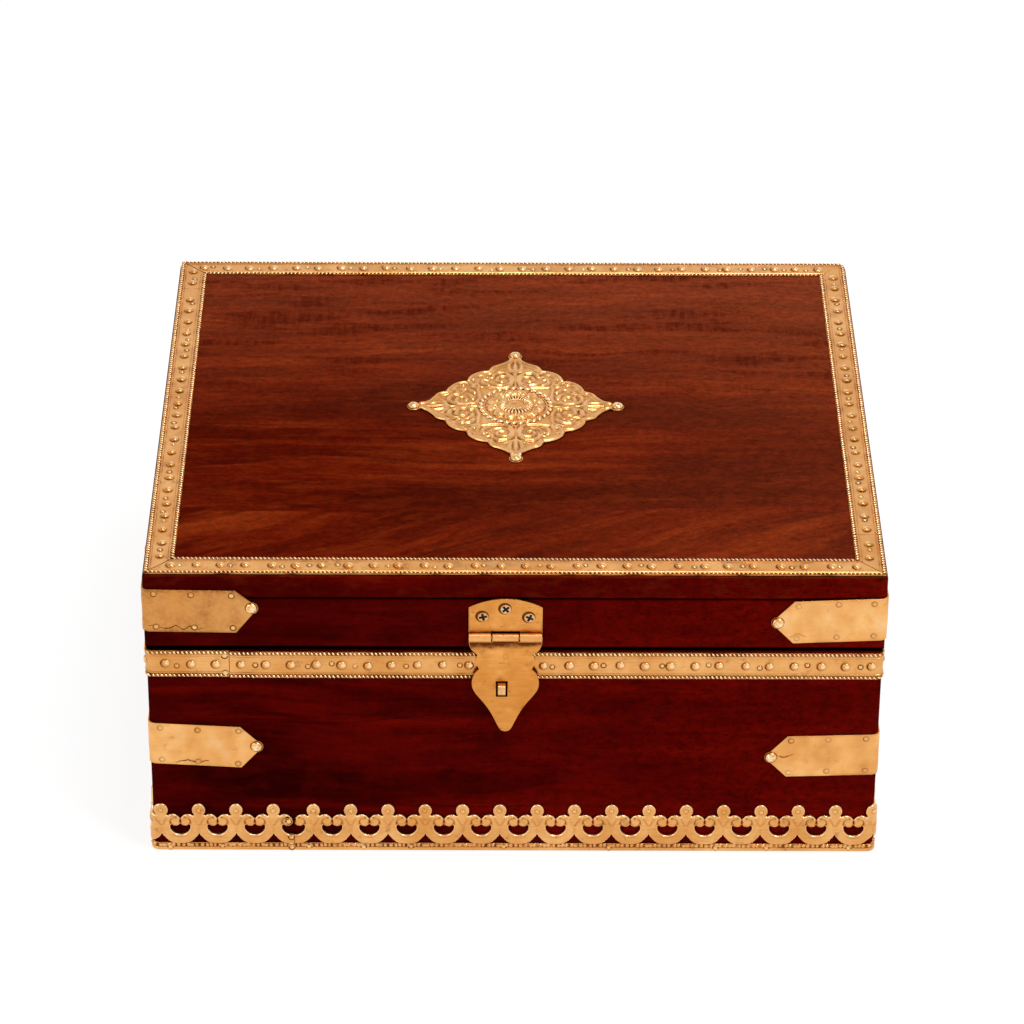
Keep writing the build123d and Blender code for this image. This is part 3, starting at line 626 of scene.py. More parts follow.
def brass(name, bright, warm, rough, wear, scratches=(60, 60, 2400)):
    """Brass sheet: warm colour in soft clouds, tarnished spots, and the marks that a piece carries:
    tarnishing, soiling and painted shade where positive, rubbed metal and painted highlight where negative;
    painted shade in crevices, and fine scratches."""
    n = Nodes(name)
    fine = n.noise((420,) * 3, 4)
    spots = n.noise((130,) * 3, 9, 4, 0.65)
    scratch = n.noise(scratches, detail=2, turn=(0.0, 0.08, 0.0))
    colour = n.ramp(n.noise((45,) * 3, detail=4), (0.32, warm), (0.62, bright))
    colour = n.fade(fine, (0.40, 0.30), (0.58, 0.0), colour, warm)
    colour = n.fade(spots, (0.58, 0.0), (0.74, wear), colour, TARNISH_AND_SHADE)
    colour = n.fade(scratch, (0.55, 0.0), (0.72, wear * 0.5), colour, TARNISH_AND_SHADE)
    # Marks above 0 go amber to brown as tarnishing, soiling and painted shade; below 0 towards pale cream as
    # rubbed metal and painted highlight.
    mark = n.add("Attribute", {"attribute_name": "tarnish_and_painted_light"}).outputs["Fac"]
    rubbed_and_highlit = n.span(mark, 0.0, -1.0)
    uneven = n.maths("MULTIPLY", mark, n.ramp(fine, (0.30, 0.75), (0.60, 1.0)))
    stained_and_shaded = n.mix(n.span(uneven, 0.36, 0.82), AMBER, TARNISH_AND_SHADE)
    colour = n.mix(n.span(uneven, 0.0, 0.65), n.mix(rubbed_and_highlit, colour, POLISH_AND_HIGHLIGHT), stained_and_shaded)
    worn = n.ramp(spots, (0.35, rough), (0.75, rough + 0.16))
    dents = n.bump(n.noise((70,) * 3, 2, 2), 0.35, 0.0006)
    # Painted shade in crevices, with tarnishing there too: browner where other surfaces lie within 1.2 mm.
    return n.surface(
        Base_Color=n.fade(n.nearness(0.0012), (0.20, 0.80), (0.75, 0.0), colour, TARNISH_AND_SHADE),
        Roughness=n.maths("SUBTRACT", worn, n.maths("MULTIPLY", rubbed_and_highlit, 0.08)),
        Normal=n.bump(n.mix(0.5, scratch, fine), 0.12, 0.0002, Normal=dents),
        Metallic=1.0,
    )


def recess():
    """Painted shade: the near-black floor in the cross of a screw."""
    n = Nodes("screw_recess")
    return n.surface(Base_Color=n.ramp(n.noise((900,) * 3), (0.3, 0.004), (0.7, 0.02)), Roughness=0.8)


POLISH_AND_HIGHLIGHT, AMBER, TARNISH_AND_SHADE = linear(255, 236, 192), linear(188, 118, 54), linear(98, 48, 17)
BRIGHT, WARM = linear(240, 180, 112), linear(220, 152, 80)
DARK_RED, RED, CLEAR_RED = linear(46, 0, 0), linear(70, 0, 0), linear(116, 10, 2)
PORE, PAINTED_SHADE = linear(30, 2, 0), linear(5, 0, 0)
# The lid top's tones, lighter than the sides' partly as painted light from above, and the colour of its
# painted sheen.
TOP_TONES, PAINTED_SHEEN = (linear(72, 8, 0), linear(106, 23, 3), linear(134, 46, 12)), linear(168, 82, 48)
FIGURE = 0.66                # strength of the curled figure at the back of the lid
SWIRL_Y = -0.088             # where the lid's second plank starts, in metres
SWIRL_TURN = math.radians(-24)
MATERIALS = {
    "wood": wood("wood", 0),
    "lid_wood": wood("lid_wood", 0, TOP_TONES),
    "wood_deep": wood("wood_deep", 1),
    "embossed_brass": brass("embossed_brass", BRIGHT, WARM, 0.22, 0.55),
    "plain_brass": brass("plain_brass", linear(248, 188, 116), linear(234, 166, 92), 0.32, 0.25),
    "hasp_brass": brass("hasp_brass", linear(239, 166, 86), linear(220, 144, 64), 0.34, 0.42),
    "nails": brass("nails", linear(246, 200, 134), WARM, 0.16, 0.25),
    "staple_brass": brass("staple_brass", linear(244, 200, 140), WARM, 0.25, 0.9, (1700, 1700, 60)),
    "screws": brass("screws", linear(232, 196, 150), WARM, 0.22, 0.35),
    "screw_recess": recess(),
}
SLOTS = {entry["node"]: entry["material_slot"] for entry in frame["record"]["subparts"]}
for node, cad in frame["nodes"].items():
    cad.data.materials.clear()
    cad.data.materials.append(MATERIALS["staple_brass" if node == "staple" else SLOTS[node]])


# ---------------------------------------------------------------- wooden boards with softened edges
TINY = 0.01
BOARD = 12.0
LAP = 6.0                    # how far a front board's outer half runs over the ends of the side boards
FLOOR_BOARD = limits("bottom_board")
SEAM_EDGE = (0.3, 1)         # radius and steps of the lid's two edges at its own seam
RIM_EDGE = (1.0, 3)
LOW_EDGE = (1.6, 4)
TOP_EDGE = (1.5, 4)
UPRIGHT = (CORNER_R, 6)


def prism(section, axis, low, high):
    """A straight bar: its points and faces. Its section is on the two axes other than its own."""
    points = [(*spot[:axis], end, *spot[axis:]) for end in (low, high) for spot in section]
    count = len(section)
    sides = [(step, (step + 1) % count, (step + 1) % count + count, step + count) for step in range(count)]
    return points, [list(range(count))[::-1], list(range(count, 2 * count)), *sides]


def board(name, slot, bar, rounds, look=None):
    """A board over one CAD node. rounds are (which edges, (radius, steps)), and edges are picked by their
    ends."""
    solid = solid_of(*bar)
    bmesh.ops.recalc_face_normals(solid, faces=solid.faces)
    for chosen, (radius, steps) in rounds:
        edges = [edge for edge in solid.edges if all(chosen(*vert.co) for vert in edge.verts)]
        bmesh.ops.bevel(
            solid, geom=edges, offset=radius, segments=steps, affect="EDGES", profile=0.5, clamp_overlap=True
        )
    shape = Shape()
    solid.verts.index_update()
    faces = [[vert.index for vert in face.verts] for face in solid.faces]
    shape.add([vert.co for vert in solid.verts], faces)
    solid.free()
    shape.finish(f"{name}_look", name.split("_")[0], slot, [name], sharp=28, look=look)


def edges_at(**places):
    """Picks ends that are, on each axis named, at one of its places."""

    def chosen(*spot):
        at = dict(zip("xyz", spot))
        return all(any(abs(at[axis] - value) < TINY for value in places[axis]) for axis in places)

    return chosen


def front_edges(x, y, z):
    """Picks ends at one height that are round the outside of a front board, with the ends of its laps."""
    level, lap_end = edges_at(z=(z,)), edges_at(x=x, y=(y[0] + LAP,))
    return lambda *spot: level(*spot) and (spot[1] < y[0] + CORNER_R + TINY or lap_end(*spot))


def lapped(x, y):
    """Section of a front board, whose outer half covers the ends of the side boards."""
    step, inner, left, right = y[0] + LAP, y[0] + BOARD, x[0] + BOARD, x[1] - BOARD
    outer_half = [(x[0], y[0]), (x[1], y[0]), (x[1], step), (right, step)]
    return outer_half + [(right, inner), (left, inner), (left, step), (x[0], step)]


def over_floor(section, z, rest):
    """A lapped front board whose inner half stands on the bottom board."""
    points = [(*spot, z[0]) for spot in (*section[:3], section[7])] + [(*spot, rest) for spot in section[3:7]]
    points += [(*spot, z[1]) for spot in section]
    faces = [(3, 2, 1, 0), (7, 6, 5, 4), tuple(range(8, 16)), (0, 1, 9, 8), (1, 2, 10, 9), (3, 0, 8, 15)]
    faces += [(2, 3, 15, 14, 7, 4, 11, 10), (4, 5, 12, 11), (5, 6, 13, 12), (6, 7, 14, 13)]
    return points, faces


def carcass_boards():
    x, y, z, rest = X_BASE, Y_BASE, Z_BASE, FLOOR_BOARD[2][1]
    rounds = [(edges_at(x=x, y=y[:1]), UPRIGHT), (front_edges(x, y, z[1]), RIM_EDGE)]
    board("base_front_board", "wood", over_floor(lapped(x, y), z, rest), rounds)
    for side, face, foot in zip(("left", "right"), x, FLOOR_BOARD[0]):
        inner = face + math.copysign(BOARD, -face)
        section = [(face, z[0]), (face, z[1]), (inner, z[1]), (inner, rest), (foot, rest), (foot, z[0])]
        name = f"base_{side}_board"
        rounds = [(edges_at(x=(face,), z=z[1:]), RIM_EDGE)]
        board(name, "wood", prism(section, 1, *limits(name)[1]), rounds, "wood_deep")


def lid_boards():
    x, y, (low, high) = X_LID, Y_LID, Z_RAILS
    rounds = [(edges_at(x=x, y=y[:1]), UPRIGHT)]
    rounds += [(front_edges(x, y, low), LOW_EDGE), (front_edges(x, y, high), SEAM_EDGE)]
    board("lid_front_rail", "wood", prism(lapped(x, y), 2, low, high), rounds)
    for side, face in zip(("left", "right"), x):
        across, run, up = limits(f"lid_{side}_rail")
        rounds = [(edges_at(x=(face,), z=(low,)), LOW_EDGE), (edges_at(x=(face,), z=(high,)), SEAM_EDGE)]
        board(f"lid_{side}_rail", "wood", prism(rectangle(across, up), 1, *run), rounds, "wood_deep")
    rounds = [(edges_at(x=x, y=y), UPRIGHT)]
    rounds += [(edges_at(z=(LID_TOP,)), TOP_EDGE), (edges_at(z=Z_TOP_BOARD[:1]), SEAM_EDGE)]
    board("lid_top_board", "lid_wood", prism(rectangle(x, y), 2, *Z_TOP_BOARD), rounds)


# ---------------------------------------------------------------- embossed strips
STRIP_SHEET = 0.6
STRIP_STEP = 2.4             # between two cross-sections of a strip
ROPE_PITCH = 2.2
ROPE_WIDE = 2.1
ROPE_SLANT = math.radians(-52)
DOME_PITCH = 13.0
DOME_R = 2.4
DOME_HIGH = 1.25
PIN_R = 1.2
PIN_HIGH = 0.55
STRIP_WAVE = 0.22            # how far the sheet of a strip is out of flat
STRAND_SIZE = (2.4, 1.4, 1.0)   # length, width and height of one strand of a rope edge
# One side of a strip from the middle of its groove, as (across, out, darkening), the darkening being
# tarnishing and painted shade in the groove.
RAISED_LINE = (
    (0.0, 0.0, 0.6), (0.35, 0.05, 0.2), (0.6, 0.3, 0.0), (0.9, 0.3, 0.0), (1.15, 0.0, 0.5), (1.8, -0.02, 0.1)
)


def strip_section(wide):
    """A strip's section as (across, out, tarnishing and painted shade): on both sides a rope's bed, a groove
    and a raised line.
    """
    half = [(0.0, 0.0, 0.6), (0.0, 0.4, 0.6), (0.35, 0.5, 0.8), (ROPE_WIDE - 0.2, 0.5, 0.9)]
    half += [(ROPE_WIDE + across, STRIP_SHEET + out, dirt_and_painted_light) for across, out, dirt_and_painted_light in RAISED_LINE]
    half.append((wide * 0.42, STRIP_SHEET - 0.05, 0.0))
    return half + [(wide - across, out, dirt_and_painted_light) for across, out, dirt_and_painted_light in reversed(half)]


def embossed_strip(name, body, replaced, place, wide, start, end, seed, dome_at, cuts=(), nails=()):
    """A strip in flat coordinates (along, across, out). start and end take a place across the strip, and
    dome_at is where one of its domes is."""
    rng = random.Random(seed)
    shape, pins, middle, section = Shape(), Shape(), wide / 2, strip_section(wide)

    def ground(along, across):
        edge = min(1.0, max(0.0, min(across, wide - across) - ROPE_WIDE - 1.2))
        return STRIP_SHEET + noise.noise(Vector((along / 9, across / 5, seed))) * STRIP_WAVE * edge

    # Pins have soiling and painted shade at their foot, a dark ring round them and a small painted highlight
    # on top.
    def nail(at, grime_and_shade, size=1.0):
        dome(pins, (*at, ground(*at) - 0.05), PIN_R * size, PIN_HIGH, 12, 2, 0.2, grime_and_shade * 0.8, 0.25, 0.6)
        halo(pins, at, PIN_R * size, PIN_R * size + 0.75, grime_and_shade, ground, 12)

    steps = max(2, int((end(middle) - start(middle)) / STRIP_STEP))
    rows, dirt_and_painted_light = [], []
    for step in range(steps + 1):
        row = []
        for across, out, grime_and_shade in section:
            along = start(across) + (end(across) - start(across)) * step / steps
            row.append((along, across, out + ground(along, across) - STRIP_SHEET))
        rows.append(row)
        stain_and_shade = max(0.0, noise.noise(Vector((row[0][0] / 11, 3.1, seed))))
        dirt_and_painted_light.append([min(1.0, grime_and_shade * (0.75 + stain_and_shade) + 0.25 * stain_and_shade) for across, out, grime_and_shade in section])
    shape.grid(rows, dirt_and_painted_light=dirt_and_painted_light, ends=0.9)
    for across in (ROPE_WIDE / 2, wide - ROPE_WIDE / 2):
        at = start(across) + 0.9
        while at < end(across) - 0.7:
            size = rng.uniform(0.88, 1.08)
            spot = (at + rng.uniform(-0.12, 0.12), across + rng.uniform(-0.08, 0.08), 0.42)
            long, thick, high = (size * one for one in STRAND_SIZE)
            strand(shape, spot, (1, 0), ROPE_SLANT, long, thick, high, 1.0, rng.uniform(0.6, 1.0))
            at += ROPE_PITCH
    at = dome_at - DOME_PITCH * int((dome_at - start(middle) - 4.0) / DOME_PITCH)
    count = 0
    while at < end(middle) - 3.5:
        spot = (at + rng.uniform(-0.7, 0.7), middle + rng.uniform(-0.4, 0.4), STRIP_SHEET - 0.1)
        radius = DOME_R * rng.uniform(0.88, 1.08)
        # Each dome has painted shade on its left, at its foot and on the ground beside it, and a painted
        # highlight towards its upper right.
        dome(shape, spot, radius, DOME_HIGH * rng.uniform(0.9, 1.25), 16, 5, 0.2, 1.0, 0.85, 1.0)
        halo(shape, spot, radius, radius + 0.9, 0.9, ground, 16, 1.0)
        if count % 2 == 0 or rng.random() < 0.2:
            pin_at = at + DOME_PITCH / 2 + rng.uniform(-2.6, 2.6)
            if pin_at < end(middle) - 3:
                nail((pin_at, middle + rng.uniform(-1.4, 1.4)), rng.choice((0.5, 0.8, 1.0)))
        at += DOME_PITCH
        count += 1
    for spot in nails:
        nail(spot, 1.0, 1.25)
    shape.bend(place, cuts)
    pins.bend(place)
    shape.finish(f"{name}_look", body, "embossed_brass", replaced)
    pins.finish(f"{name}_pins", body, "nails")


STRIP_WIDE = 15.0
STRIP_MARGIN = 0.9
MITRE_GAP = 0.3
FOLD_R = 3.8                 # round corner where one length of strip is folded, at the back right


def top_place(side):
    """Carries (along, across, out) to the lid's top; across counts inwards from the strip's outer edge."""
    x, y = X_LID, Y_LID

    def place(along, across, out):
        inward = STRIP_MARGIN + across
        px, py = {
            "front": (along, y[0] + inward),
            "back": (along, y[1] - inward),
            "left": (x[0] + inward, along),
            "right": (x[1] - inward, along),
        }[side]
        from_x, from_y = px - (x[1] - STRIP_MARGIN - FOLD_R), py - (y[1] - STRIP_MARGIN - FOLD_R)
        if min(from_x, from_y) > 0:
            pull = 1.0 - max(from_x, from_y) / math.hypot(from_x, from_y)
            px, py = px - from_x * pull, py - from_y * pull
        return px, py, LID_TOP + out

    return place


def mitred(low, high, gap=MITRE_GAP):
    """Ends of a strip that is mitred at both ends, with a gap at its high end."""
    last = high - STRIP_MARGIN - gap
    return (lambda across: low + STRIP_MARGIN + across + MITRE_GAP, lambda across: last - across)


def square(at):
    return lambda across: at


def top_strips():
    (x_start, x_end), (y_start, y_end) = mitred(*X_LID), mitred(*Y_LID)
    left_seam = limits("top_strip_left_patch")[1][0]
    right_seam = limits("top_strip_right_patch")[1][1]
    runs = (
        ("front", "front", x_start, x_end, ["front"], -163.4),
        ("left", "left", y_start, square(left_seam - 0.1), ["left"], -138.2),
        ("left_patch", "left", square(left_seam + 0.1), y_end, ["left_patch"], 142.0),
        ("right_patch", "right", y_start, square(right_seam - 0.1), ["right_patch"], -138.0),
        ("right", "right", square(right_seam + 0.1), mitred(*Y_LID, 0.0)[1], [], -70.9),
        ("back", "back", x_start, mitred(*X_LID, 0.0)[1], ["back_right"], -163.0),
    )
    for seed, (name, side, start, end, nodes, dome_at) in enumerate(runs, 1):
        replaced = [f"top_strip_{node}" for node in nodes]
        name, place = f"top_strip_{name}", top_place(side)
        embossed_strip(name, "lid", replaced, place, STRIP_WIDE, start, end, seed, dome_at)


RIM_LOW, RIM_HIGH = limits("rim_strip_front_right")[2]
RIM_SEAM = -147.2
SEAM_NAILS = ((-149.6, 13.0), (-149.4, 2.4))


def rim_strips():
    back_seam = BASE_WALL.at_back(-RIM_SEAM)
    runs = (
        ("front_right", RIM_SEAM + 0.15, back_seam - 0.1, -0.3, 21, -140.8, ()),
        ("back_left", back_seam + 0.1 - BASE_WALL.girth, RIM_SEAM - 0.15, 0.3, 22, -153.6, SEAM_NAILS),
    )
    for where, low, high, lift, seed, dome_at, nails in runs:

        def place(along, across, out, lift=lift):
            in_front = min(1.0, max(0.0, (250 + along) / 50))
            return BASE_WALL(along, RIM_LOW + across + (lift * in_front if lift > 0 else lift), out)

        name, cuts = f"rim_strip_{where}", BASE_WALL.cuts(low, high)
        ends = (square(low), square(high))
        embossed_strip(name, "base", [name], place, RIM_HIGH - RIM_LOW, *ends, seed, dome_at, cuts, nails)


# ---------------------------------------------------------------- gallery
GALLERY_PITCH = 19.65
HALF = GALLERY_PITCH / 2
GALLERY_SEAM = -115.6
GALLERY_BACK_SEAM_X = 122.4
FIRST_KNOB = -105.5
LAST_KNOB = -126.6
GALLERY_LOW, GALLERY_HIGH = limits("gallery_front_right")[2]
GALLERY_SHEET = 0.7
BED = 0.75                   # the relief's level between its lines, and the pit in each knob
KNOB_HALF = (3.65, 4.1)      # across and up
KNOB_Z = GALLERY_HIGH - KNOB_HALF[1]
NOTCH_Z = 20.4
# Edges of one unit, right of its knob: the curled end over it, the leaf under its stem and the half-moon.
HUMP = ((3.1, 22.3), (4.3, 23.1), (5.4, 23.4), (6.9, 23.2), (8.3, 22.4), (9.2, 21.3))
LEAF_EDGE = ((0, 11.1), (0.9, 9.3), (2.3, 7.5), (3.9, 6.0), (6.0, 4.9))
MOON_EDGE = (
    (0, 10.8), (1.8, 11.1), (3.4, 12.1), (4.6, 13.8), (5.1, 16.3), (4.1, 16.1), (2.8, 15.7), (1.3, 16.0),
    (0, 17.0),
)
# Raised lines as (across, up, half-width).
RING_LINE = (
    (0, 6.6, 3.5), (3.7, 7.7, 3.2), (6.5, 10.6, 2.9), (7.5, 14.6, 2.6), (7.2, 18.2, 2.4), (5.9, 20.7, 2.4),
    (4.2, 21.3, 2.1),
)
STEM_LINE = ((0, 25.5, 3.2), (0, 22.5, 2.9), (0, 19.6, 1.9), (0, 10.0, 1.5))
CURL = (2.7, 18.5)
CURL_R = 2.6
CURL_GROOVE = 2.75           # radius of the crease outside a curl
CURL_TURNS = [math.radians(angle) for angle in range(-45, 106, 15)]
BAND_EDGE_Z = 4.8
BEAD_Z = 3.65
BEADS = 8
EDGE_KEEPS = 0.35            # share of the relief's height that is left at an edge
STUB_TOP = 12.0              # beyond the seam a run goes on only below the half-moons
SEAM_GAP = 0.22
GALLERY_GRAIN = 0.48         # between the points of its mesh
GALLERY_RASTER = 0.15        # between the points of its relief
RING_HIGH, STEM_HIGH, KNOB_HIGH, LIP_HIGH = 1.3, 1.25, 1.35, 1.65
PIT_R = 2.1
KNOB_PIN = (1.5, 0.72)       # radius and height of its pins, in the knobs, along the foot and at the seam
FOOT_PIN = (1.35, 0.6)
SEAM_NAIL = (1.45, 0.7)
GALLERY_SEAM_NAILS = ((-118.5, 19.3, 2.0), (-117.2, 9.2, 1.9), (-117.3, 5.2, 1.3), (-117.1, 2.6, 1.5))


def gallery_relief(rng):
    """The relief of one unit, its knob in the middle, with the rings of both its sides."""
    relief = Relief((-HALF - 0.4, HALF + 0.4), (0.0, 31.0), GALLERY_RASTER)
    relief.high = relief.high + BED
    for side in (-1, 1):
        for turn in (-1, 1):
            ring = [(side * (HALF + turn * x), z, half) for x, z, half in smooth(RING_LINE, 4)]
            relief.line(ring, RING_HIGH, power=0.35)
    relief.line(STEM_LINE, STEM_HIGH, power=0.2)
    soft = rng.uniform(0.5, 1.0)
    relief.groove([(0, 16.2), (0, 11.9)], 0.45 * soft, 1.1)
    for side in (-1, 1):
        deep = rng.choice((0.25, 0.6, 0.8))
        relief.groove([(side * 3.6, 22.8), (side * 2.5, 20.0), (side * 0.6, 17.0)], deep * soft, 0.85)
        middle = side * HALF
        for turn in (-1, 1):
            lip = [(middle + turn * x * 1.06, z - 0.55) for x, z in smooth(MOON_EDGE[:5], 4)]
            relief.line(lip, LIP_HIGH, 0.8, power=0.4)
        relief.groove([(middle, NOTCH_Z + 0.3), (middle, 16.2)], 0.8, 0.5)
        for turn in (-1, 1):
            spot = (middle - side * turn * CURL[0], CURL[1])
            reach = CURL_GROOVE if spot[0] > middle else -CURL_GROOVE
            arc = [(reach * math.cos(angle), CURL_GROOVE * math.sin(angle)) for angle in CURL_TURNS]
            relief.groove([(spot[0] + x, spot[1] + z) for x, z in arc], 0.65, 0.6)
            relief.knob(*spot, CURL_R - 0.25, 1.5, 0.4)
    knob = np.hypot(relief.px / KNOB_HALF[0], (relief.py - KNOB_Z) / KNOB_HALF[1])
    relief.raise_by(knob, KNOB_HIGH, 0.35)
    pit = (rng.uniform(-0.4, 0.4), KNOB_Z + rng.uniform(-0.4, 0.4))
    away = np.hypot(relief.px - pit[0], relief.py - pit[1])
    bowl = np.minimum(relief.high, BED + 0.55 * (away / PIT_R) ** 5)
    relief.high = np.where(away < PIT_R, bowl, relief.high)
    low = relief.py < BAND_EDGE_Z + 0.15
    relief.high = np.where(low, 0.2, relief.high)
    for number in range(BEADS):
        at = -HALF + (number + 0.5 + rng.uniform(-0.22, 0.22)) * GALLERY_PITCH / BEADS
        wide = rng.uniform(0.8, 1.2)
        part = np.hypot((relief.px - at) / wide, (relief.py - BEAD_Z - rng.uniform(-0.12, 0.12)) / 1.1)
        relief.raise_by(part, rng.uniform(1.1, 1.45), 0.45)
    # The gaps of the bead row are darkened: soiling and painted shade.
    stained_and_shaded = low & (relief.py > 2.3) & (relief.high < 0.6)
    relief.line([(-HALF - 1, 1.1), (HALF + 1, 1.1)], 0.85, 1.15, power=0.3)
    relief.soften(0.2)
    return relief, pit, stained_and_shaded * rng.uniform(0.35, 0.95)


def gallery_unit():
    """One unit: the points and faces of its flat mesh, its edge in runs, its outline and its leaf's."""
    turns = [math.radians(turn) for turn in range(0, 136, 15)]
    ball = [(KNOB_HALF[0] * math.sin(turn), KNOB_Z + KNOB_HALF[1] * math.cos(turn)) for turn in turns]
    crest = ball + smooth(HUMP, 3) + [(HALF, NOTCH_Z)]
    crest = [(-x, z) for x, z in reversed(crest)][:-1] + crest
    moon = smooth(MOON_EDGE, 5)
    right_moon, left_moon = [(HALF - x, z) for x, z in moon], [(-HALF + x, z) for x, z in moon]
    leaf = smooth(LEAF_EDGE, 4)
    floor_of_leaf = [(leaf[-1][0] * (1 - step / 12), leaf[-1][1]) for step in range(1, 24)]
    leaf = leaf + floor_of_leaf + [(-x, z) for x, z in reversed(leaf[1:])]
    base = [(-HALF + GALLERY_PITCH * step / 26, GALLERY_LOW) for step in range(27)]
    under = [GALLERY_LOW + (moon[0][1] - GALLERY_LOW) * step / 20 for step in range(1, 20)]
    over = [moon[-1][1] + (NOTCH_Z - moon[-1][1]) * step / 8 for step in range(1, 8)]
    outline = base + [(HALF, z) for z in under] + right_moon + [(HALF, z) for z in over]
    outline += crest[::-1] + [(-HALF, z) for z in reversed(over)] + left_moon[::-1]
    outline += [(-HALF, z) for z in reversed(under)]
    inner = [
        (-HALF + GALLERY_GRAIN * (column + 0.5 * (row % 2)), GALLERY_LOW + GALLERY_GRAIN * (row + 0.5))
        for row in range(int((GALLERY_HIGH - GALLERY_LOW) / GALLERY_GRAIN))
        for column in range(int(GALLERY_PITCH / GALLERY_GRAIN) + 1)
    ]
    reaches = [1.1] * len(inner)
    for depth in (0.3, 0.75):
        for loop, way in ((outline, 1), (leaf, -1)):
            ring = inset(turning(loop, way), depth)
            inner += ring
            reaches += [depth * 0.9] * len(ring)
    x, z = np.array(inner).T
    runs = [base, right_moon, crest, left_moon, leaf + leaf[:1]]
    rim = np.min([away_from(x, z, run) for run in runs], axis=0)
    border = HALF - np.abs(x)
    kept = inside(x, z, [outline, leaf]) & (rim > np.array(reaches)) & ((border > 0.2) | (border < -1))
    verts, faces = filled([outline, leaf], [spot for spot, keep in zip(inner, kept) if keep])
    return verts, faces, runs, outline, leaf


def gallery_run(name, first, last, between, seed, unit, reliefs):
    """A length of gallery, made flat and then bent round the corners."""
    rng = random.Random(seed)
    step = GALLERY_PITCH if last > first else -GALLERY_PITCH
    knobs = sorted(first + step * number for number in range(-1, int(abs(last - first) / GALLERY_PITCH) + 2))
    verts, faces, edge_runs = unit[:3]
    across, up = np.array(verts).T
    shape, pins = Shape(), Shape()
    low_faces = [face for face in faces if max(up[index] for index in face) < STUB_TOP]
    for knob in knobs:
        if not between[0] - HALF < knob < between[1] + HALF:
            continue
        relief, hollows, brink, worn, pit = rng.choice(reliefs)
        high = GALLERY_SHEET + relief.read(relief.high, across, up) * brink
        dirt_and_painted_light = np.maximum(relief.read(hollows, across, up), 0) - worn
        stub = abs(knob - (first - step)) < TINY
        shape.add(zip(across + knob, up, high), low_faces if stub else faces, dirt_and_painted_light)
        for run in edge_runs[:1] if stub else edge_runs:
            x, z = np.array(run).T
            top = GALLERY_SHEET + relief.read(relief.high, x, z) * EDGE_KEEPS
            # The cut edges are bright at the top, wear and painted highlight, and a little darker at the
            # foot.
            shape.grid([list(zip(x + knob, z, out)) for out in (top, np.zeros_like(x))], dirt_and_painted_light=[-0.5, 0.2])
        dome(pins, (knob + pit[0], pit[1], GALLERY_SHEET + 0.6), *KNOB_PIN, 14, 3, 0.3, 0.9, 0.1)
    at = between[0] + rng.uniform(5, 9)
    while at < between[1] - 4:
        spot = (at, 2.7 + rng.uniform(-0.4, 0.4))
        dome(pins, (*spot, GALLERY_SHEET + 0.35), *FOOT_PIN, 12, 2, 0.0, 0.9)
        halo(pins, spot, FOOT_PIN[0], 2.2, 0.95, lambda x, z: GALLERY_SHEET + 0.55, 12)
        at += rng.choice((27.0, 27.0, 45.0, 54.0)) * rng.uniform(0.9, 1.1)
    shape.bend(BASE_WALL, BASE_WALL.cuts(*between), between, weld=True)
    pins.bend(BASE_WALL, (), between)
    shape.finish(f"{name}_look", "base", "embossed_brass", [name], sharp=55)
    pins.finish(f"{name}_pins", "base", "nails")


def gallery():
    unit = gallery_unit()
    verts, faces, edge_runs, outline, leaf = unit
    x, z = np.array(verts).T
    away = np.min([away_from(x, z, run) for run in edge_runs], axis=0)
    brink = EDGE_KEEPS + (1 - EDGE_KEEPS) * np.sqrt(np.clip(1 - (1 - np.clip(away / 0.75, 0, 1)) ** 2, 0, 1))
    # Near the edges, above the bead band, the sheet is rubbed bright: wear and painted highlight.
    worn = 0.55 * np.clip(1 - away / 0.8, 0, 1) * (z > BAND_EDGE_Z)
    reliefs = []
    for number in range(5):
        relief, pit, stained_and_shaded = gallery_relief(random.Random(50 + number))
        off = ~inside(relief.px, relief.py, [outline, leaf]) & (np.abs(relief.px) < HALF - 0.1)
        # Hollows take tarnishing and painted shade, and crests are a little rubbed bright, as wear and
        # painted highlight.
        hollows = np.clip(relief.hollows(0.45, 1.7, off, 0.2) + relief.hollows(1.2, 0.8, off, 0.2), -0.3, 1)
        hollows = np.where(relief.py < 2.2, 0.3 * hollows - 0.15, np.maximum(hollows, stained_and_shaded))
        reliefs.append((relief, hollows, brink, worn, pit))
    back_end = BASE_WALL.at_back(GALLERY_BACK_SEAM_X)
    start = back_end - BASE_WALL.girth
    runs = (
        ("front_right", FIRST_KNOB, back_end, GALLERY_SEAM, back_end, 31),
        ("back_left", LAST_KNOB, start, start, GALLERY_SEAM, 32),
    )
    for where, first, last, low, high, seed in runs:
        gallery_run(f"gallery_{where}", first, last, (low + SEAM_GAP, high - SEAM_GAP), seed, unit, reliefs)
    nails = Shape()
    for spot in GALLERY_SEAM_NAILS:
        dome(nails, spot, *SEAM_NAIL, 12, 3, 0.2, 0.9, 0.4, 0.3)
        halo(nails, spot, SEAM_NAIL[0], 2.2, 1.0, lambda x, z, out=spot[2]: out + 0.1, 12)
    nails.bend(BASE_WALL)
    nails.finish("gallery_seam_nails", "base", "nails")


# ---------------------------------------------------------------- corner straps and their nails
STRAP_HALF = 12.7
STRAP_FLAT = 47.5
STRAP_REACH = 57.9
STRAP_TIP = 1.5
STRAP_PLATE = 0.8
STRAP_RIM = STRAP_PLATE - 0.15
STRAP_STEPS = 40             # of its mesh from the corner to a tip
NAIL_FROM_TIP = 2.3
CORNER_TO_ARC = CORNER_R - CORNER_R * math.pi / 4     # distances from a corner shrink by this along the wall
CORNER_TURN = {"front_left": -1, "front_right": 0, "back_right": 1, "back_left": -2}
